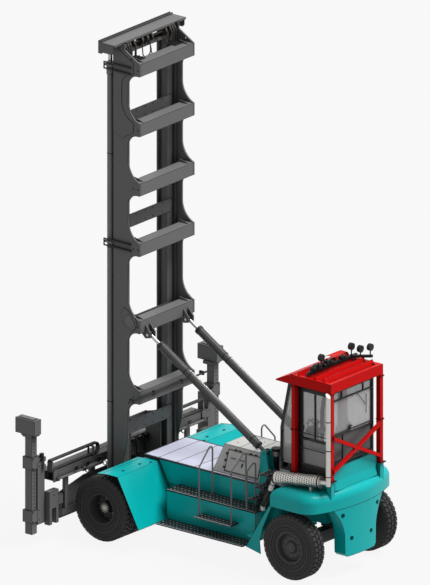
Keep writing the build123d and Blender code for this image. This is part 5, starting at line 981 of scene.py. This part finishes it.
for side, sign in SIDES:
    collars, steel = bmesh.new(), bmesh.new()
    for reach, radius, length in COLLARS:
        disc(collars, on_line(sign, reach), tilt_way, radius, length, 36, chamfer=0.2)
    for reach in (0.95, 1.45, 1.95):
        spot = on_line(sign, reach)
        chamfered_box(collars, spot + Vector((-0.020, -0.012, 0.075)),
                      spot + Vector((0.020, 0.012, 0.098)), 0.004)
    beside = Vector((-0.045, 0, 0.076))
    bar_between(steel, on_line(sign, 0.45) + beside, on_line(sign, 2.40) + beside, 0.009, 8)
    piece(collars, f"tilt_collars_{side}", "black_paint", f"tilt_barrel_{side}")
    piece(steel, f"tilt_oil_pipe_{side}", "chrome_rod", f"tilt_barrel_{side}", finish=zinc, smooth=True)
    band = bmesh.new()
    hoop(band, UPPER + Vector((0, sign * TILT_Y, 0)), (0, 1, 0), 0.0600, 0.004, 36, 6, flat=9.0)
    piece(band, f"tilt_eye_band_{side}", "black_paint", f"tilt_rod_{side}", smooth=True)

# %% Mast fasteners, lock rings and cover plates
COVER = ((1.885, 4.300), (1.905, 4.395), (1.990, 4.545), (2.060, 4.590), (2.160, 4.520),
         (2.200, 4.420), (2.150, 4.330), (1.990, 4.270))  # x, z
LIFT_X, LIFT_Y = 2.600, 0.820  # a lift cylinder's middle line
outer_iron, outer_plates, inner_iron = bmesh.new(), bmesh.new(), bmesh.new()
for sign in (1, -1):
    for z in (9.600, 9.840):
        disc(outer_iron, (LIFT_X, sign * LIFT_Y, z), (0, 0, 1), 0.0815, 0.009, 36, chamfer=0.3)
    for z in (0.40, 2.60, 5.90, 7.90):
        hoop(outer_iron, (LIFT_X, sign * LIFT_Y, z), (0, 0, 1), 0.065, 0.005, 36, 6, flat=2.0)
    # cover plate with rounded corners beside the tilt bracket, and its bolts
    low_y, high_y = sorted((sign * 0.892, sign * 0.899))
    rims = [[outer_plates.verts.new((x, y, z)) for x, z in COVER] for y in (low_y, high_y)]
    skin(outer_plates, rims)
    outer_plates.faces.new(rims[1])
    outer_plates.faces.new(list(reversed(rims[0])))
    for top in (9.970, 8.690, 7.420, 6.130, 4.480, 2.970):
        face_y = sign * (0.893 if top == 4.480 else 0.885)  # farther out at the cover plate
        for x in (1.83, 1.95):
            disc(outer_iron, (x, face_y, top - 0.135), (0, sign, 0), 0.016, 0.009, 6, chamfer=0.3)
    for y in (0.510, 0.640, 0.750):
        for x in (2.02, 2.10):
            disc(outer_iron, (x, sign * y, 9.984), (0, 0, 1), 0.016, 0.022, 6, chamfer=0.25)
    for y in (0.12, 0.42, 0.72):
        for z in (8.78, 8.60, 6.56, 6.38, 4.36, 4.18, 2.15, 1.97):
            disc(inner_iron, (2.2555, sign * y, z), (-1, 0, 0), 0.014, 0.008, 6, chamfer=0.3)
piece(outer_iron, "outer_mast_fasteners", "black_paint", "outer_mast")
cover_paint = enamel("cover_plate_enamel", "#7E7E7E", rough=0.45, corner_shade=0.3)
piece(outer_plates, "outer_mast_covers", "mast_paint", "outer_mast", finish=cover_paint)
piece(inner_iron, "inner_mast_fasteners", "black_paint", "inner_mast")

# %% Spreader fittings
spreader_iron = bmesh.new()
for sign in (1, -1):
    for y in (1.08, 1.45, 1.82):
        chamfered_box(spreader_iron, (2.664, sign * y - 0.05, 1.372), (2.680, sign * y + 0.05, 1.452), 0.004)
    for y in (2.06, 2.32, 2.44, 2.56):
        disc(spreader_iron, (2.6495, sign * y, 1.04), (-1, 0, 0), 0.015, 0.010, 6, chamfer=0.3)
    hoop(spreader_iron, (2.615, sign * 1.545, 1.310), (0, 1, 0), 0.046, 0.008, 32, 6, flat=2.0)
    hoop(spreader_iron, (2.615, sign * 0.975, 1.310), (0, 1, 0), 0.046, 0.007, 32, 6, flat=2.0)
for y in (-0.42, -0.20, 0.02, 0.24, 0.44):
    chamfered_box(spreader_iron, (2.625, y - 0.05, 1.47), (2.682, y + 0.05, 1.56), 0.008)
    hoop(spreader_iron, (2.632, y, 1.42), (1, 0, 0), 0.035, 0.012, 24, 6)
for y in (-0.33, -0.09, 0.14, 0.36):
    bar_between(spreader_iron, (2.650, y, 1.49), (2.650, y, 1.19), 0.014, 8)
piece(spreader_iron, "spreader_valves", "black_paint", "carriage")

HOLE_FOOT, HOLE_PITCH = 0.82, 0.078
for side, sign in SIDES:
    holes = bmesh.new()
    for k in range(20):
        z = HOLE_FOOT + HOLE_PITCH * k
        if 1.60 < z < 1.95:  # the fitting is here
            continue
        # the holes are discs painted dark: painted shade in each hole
        for y in (2.905, 2.935):
            disc(holes, (2.8755, sign * y, z), (-1, 0, 0), 0.011, 0.003, 8, chamfer=0.3)
    for z in (0.53, 0.73, 1.67, 1.87, 2.35):
        for y in (2.80, 2.99):
            disc(holes, (2.8555, sign * y, z), (-1, 0, 0), 0.016, 0.009, 6, chamfer=0.3)
    chamfered_box(holes, (2.815, sign * 2.72 - 0.045, 1.845), (2.880, sign * 2.72 + 0.045, 1.935), 0.008)
    hoop(holes, (2.812, sign * 2.72, 1.890), (1, 0, 0), 0.026, 0.006, 24, 6)
    piece(holes, f"column_fittings_{side}", "black_paint", f"telescope_{side}")

# %% [markdown]
# ## Small black hardware
#
# The lamp bar over the cab is crowded with switch boxes and clamps. They are rigid and
# small, so they are blocks and studs on the solid that carries them.

# %% Lamp bar boxes and clamps
bar_boxes = bmesh.new()
for y, wide, deep, tall in ((0.610, 0.090, 0.110, 0.075), (0.440, 0.110, 0.130, 0.095),
                            (0.290, 0.070, 0.150, 0.060), (0.170, 0.110, 0.110, 0.110),
                            (0.040, 0.080, 0.090, 0.060), (-0.330, 0.140, 0.090, 0.070)):
    chamfered_box(bar_boxes, (LAMP_BAR_X - deep / 2, y - wide / 2, LAMP_BAR_TOP),
                  (LAMP_BAR_X + deep / 2, y + wide / 2, LAMP_BAR_TOP + tall), 0.008)
    disc(bar_boxes, (LAMP_BAR_X, y, LAMP_BAR_TOP + tall), (0, 0, 1), 0.018, 0.022, 12)
for y in (0.700, 0.530, 0.347, 0.110, -0.200, -0.620):
    chamfered_box(bar_boxes, (LAMP_BAR_X - 0.036, y - 0.022, LAMP_BAR_TOP - 0.056),
                  (LAMP_BAR_X + 0.036, y + 0.022, LAMP_BAR_TOP + 0.010), 0.004)
piece(bar_boxes, "lamp_bar_boxes", "black_paint", "chassis")

# %% [markdown]
# ## Floor, light and air
#
# The truck stands on a pale floor under one broad lamp, high up, behind it and to its
# right, so that tops are bright, the rear faces half as bright and the left faces
# darkest, as in the picture. The floor and the air add white only to what the camera
# sees or what metal and glass mirror, so the white never lights the truck.

# %% What is seen directly
WHITE = (1, 1, 1, 1)


def seen_directly(tree):
    """1 for a ray from the camera or one that metal mirrors or glass lets through, otherwise 0."""
    ray = add(tree, "ShaderNodeLightPath")
    seen = add(tree, "ShaderNodeMath", {0: ray.outputs["Is Camera Ray"], 1: ray.outputs["Is Glossy Ray"]},
               operation="MAXIMUM")
    through = add(tree, "ShaderNodeMath", {0: seen.outputs["Value"], 1: ray.outputs["Is Transmission Ray"]},
                  operation="MAXIMUM")
    return through.outputs["Value"]


print("the white that is seen directly:", WHITE)

# %% Floor
HALF_FLOOR = 60      # metres, beyond the edge of the picture
sheet = bpy.data.meshes.new("studio_floor")
sheet.from_pydata([(x * HALF_FLOOR, y * HALF_FLOOR, 0) for x, y in ((-1, -1), (1, -1), (1, 1), (-1, 1))],
                  [], [(0, 1, 2, 3)])
floor = bpy.data.objects.new("studio_floor", sheet)
bpy.context.scene.collection.objects.link(floor)
pale = bpy.data.materials.new("matt_white_vinyl")
pale.use_nodes = True
tree = pale.node_tree
matt = tree.nodes["Principled BSDF"]
fill(tree, matt, {"Base Color": linear("#A0A0A0"), "Roughness": 0.9})
share = add(tree, "ShaderNodeMath", {0: seen_directly(tree), 1: 0.9}, operation="MULTIPLY")
white = add(tree, "ShaderNodeEmission", {"Color": WHITE}, Strength=1.0)
both = add(tree, "ShaderNodeMixShader", {0: share.outputs["Value"], 1: matt.outputs["BSDF"],
                                         2: white.outputs["Emission"]})
fill(tree, tree.nodes["Material Output"], {"Surface": both.outputs["Shader"]})
sheet.materials.append(pale)
print("floor:", floor.name)

# %% Lamp and air
lamp = bpy.data.lights.new("broad_lamp", "SUN")
lamp.energy = 2.9
lamp.angle = 0.5
key = bpy.data.objects.new("broad_lamp", lamp)
key.rotation_euler = Vector((-0.38, -0.25, 0.89)).to_track_quat("Z", "Y").to_euler()
bpy.context.scene.collection.objects.link(key)

air = bpy.data.worlds.new("studio_air")
air.use_nodes = True
tree = air.node_tree
tree.nodes.clear()
lighting = add(tree, "ShaderNodeBackground", {"Color": WHITE}, Strength=0.21)
backdrop = add(tree, "ShaderNodeBackground", {"Color": WHITE}, Strength=1.0)
both = add(tree, "ShaderNodeMixShader", {0: seen_directly(tree), 1: lighting.outputs["Background"],
                                         2: backdrop.outputs["Background"]})
add(tree, "ShaderNodeOutputWorld", {"Surface": both.outputs["Shader"]})
bpy.context.scene.world = air
bpy.context.scene.view_settings.view_transform = "Standard"
print("lamp strength", lamp.energy, "air", lighting.inputs["Strength"].default_value)

# %% [markdown]
# ## End
#
# The dressed truck must not be larger than its frame.

# %% End
import json
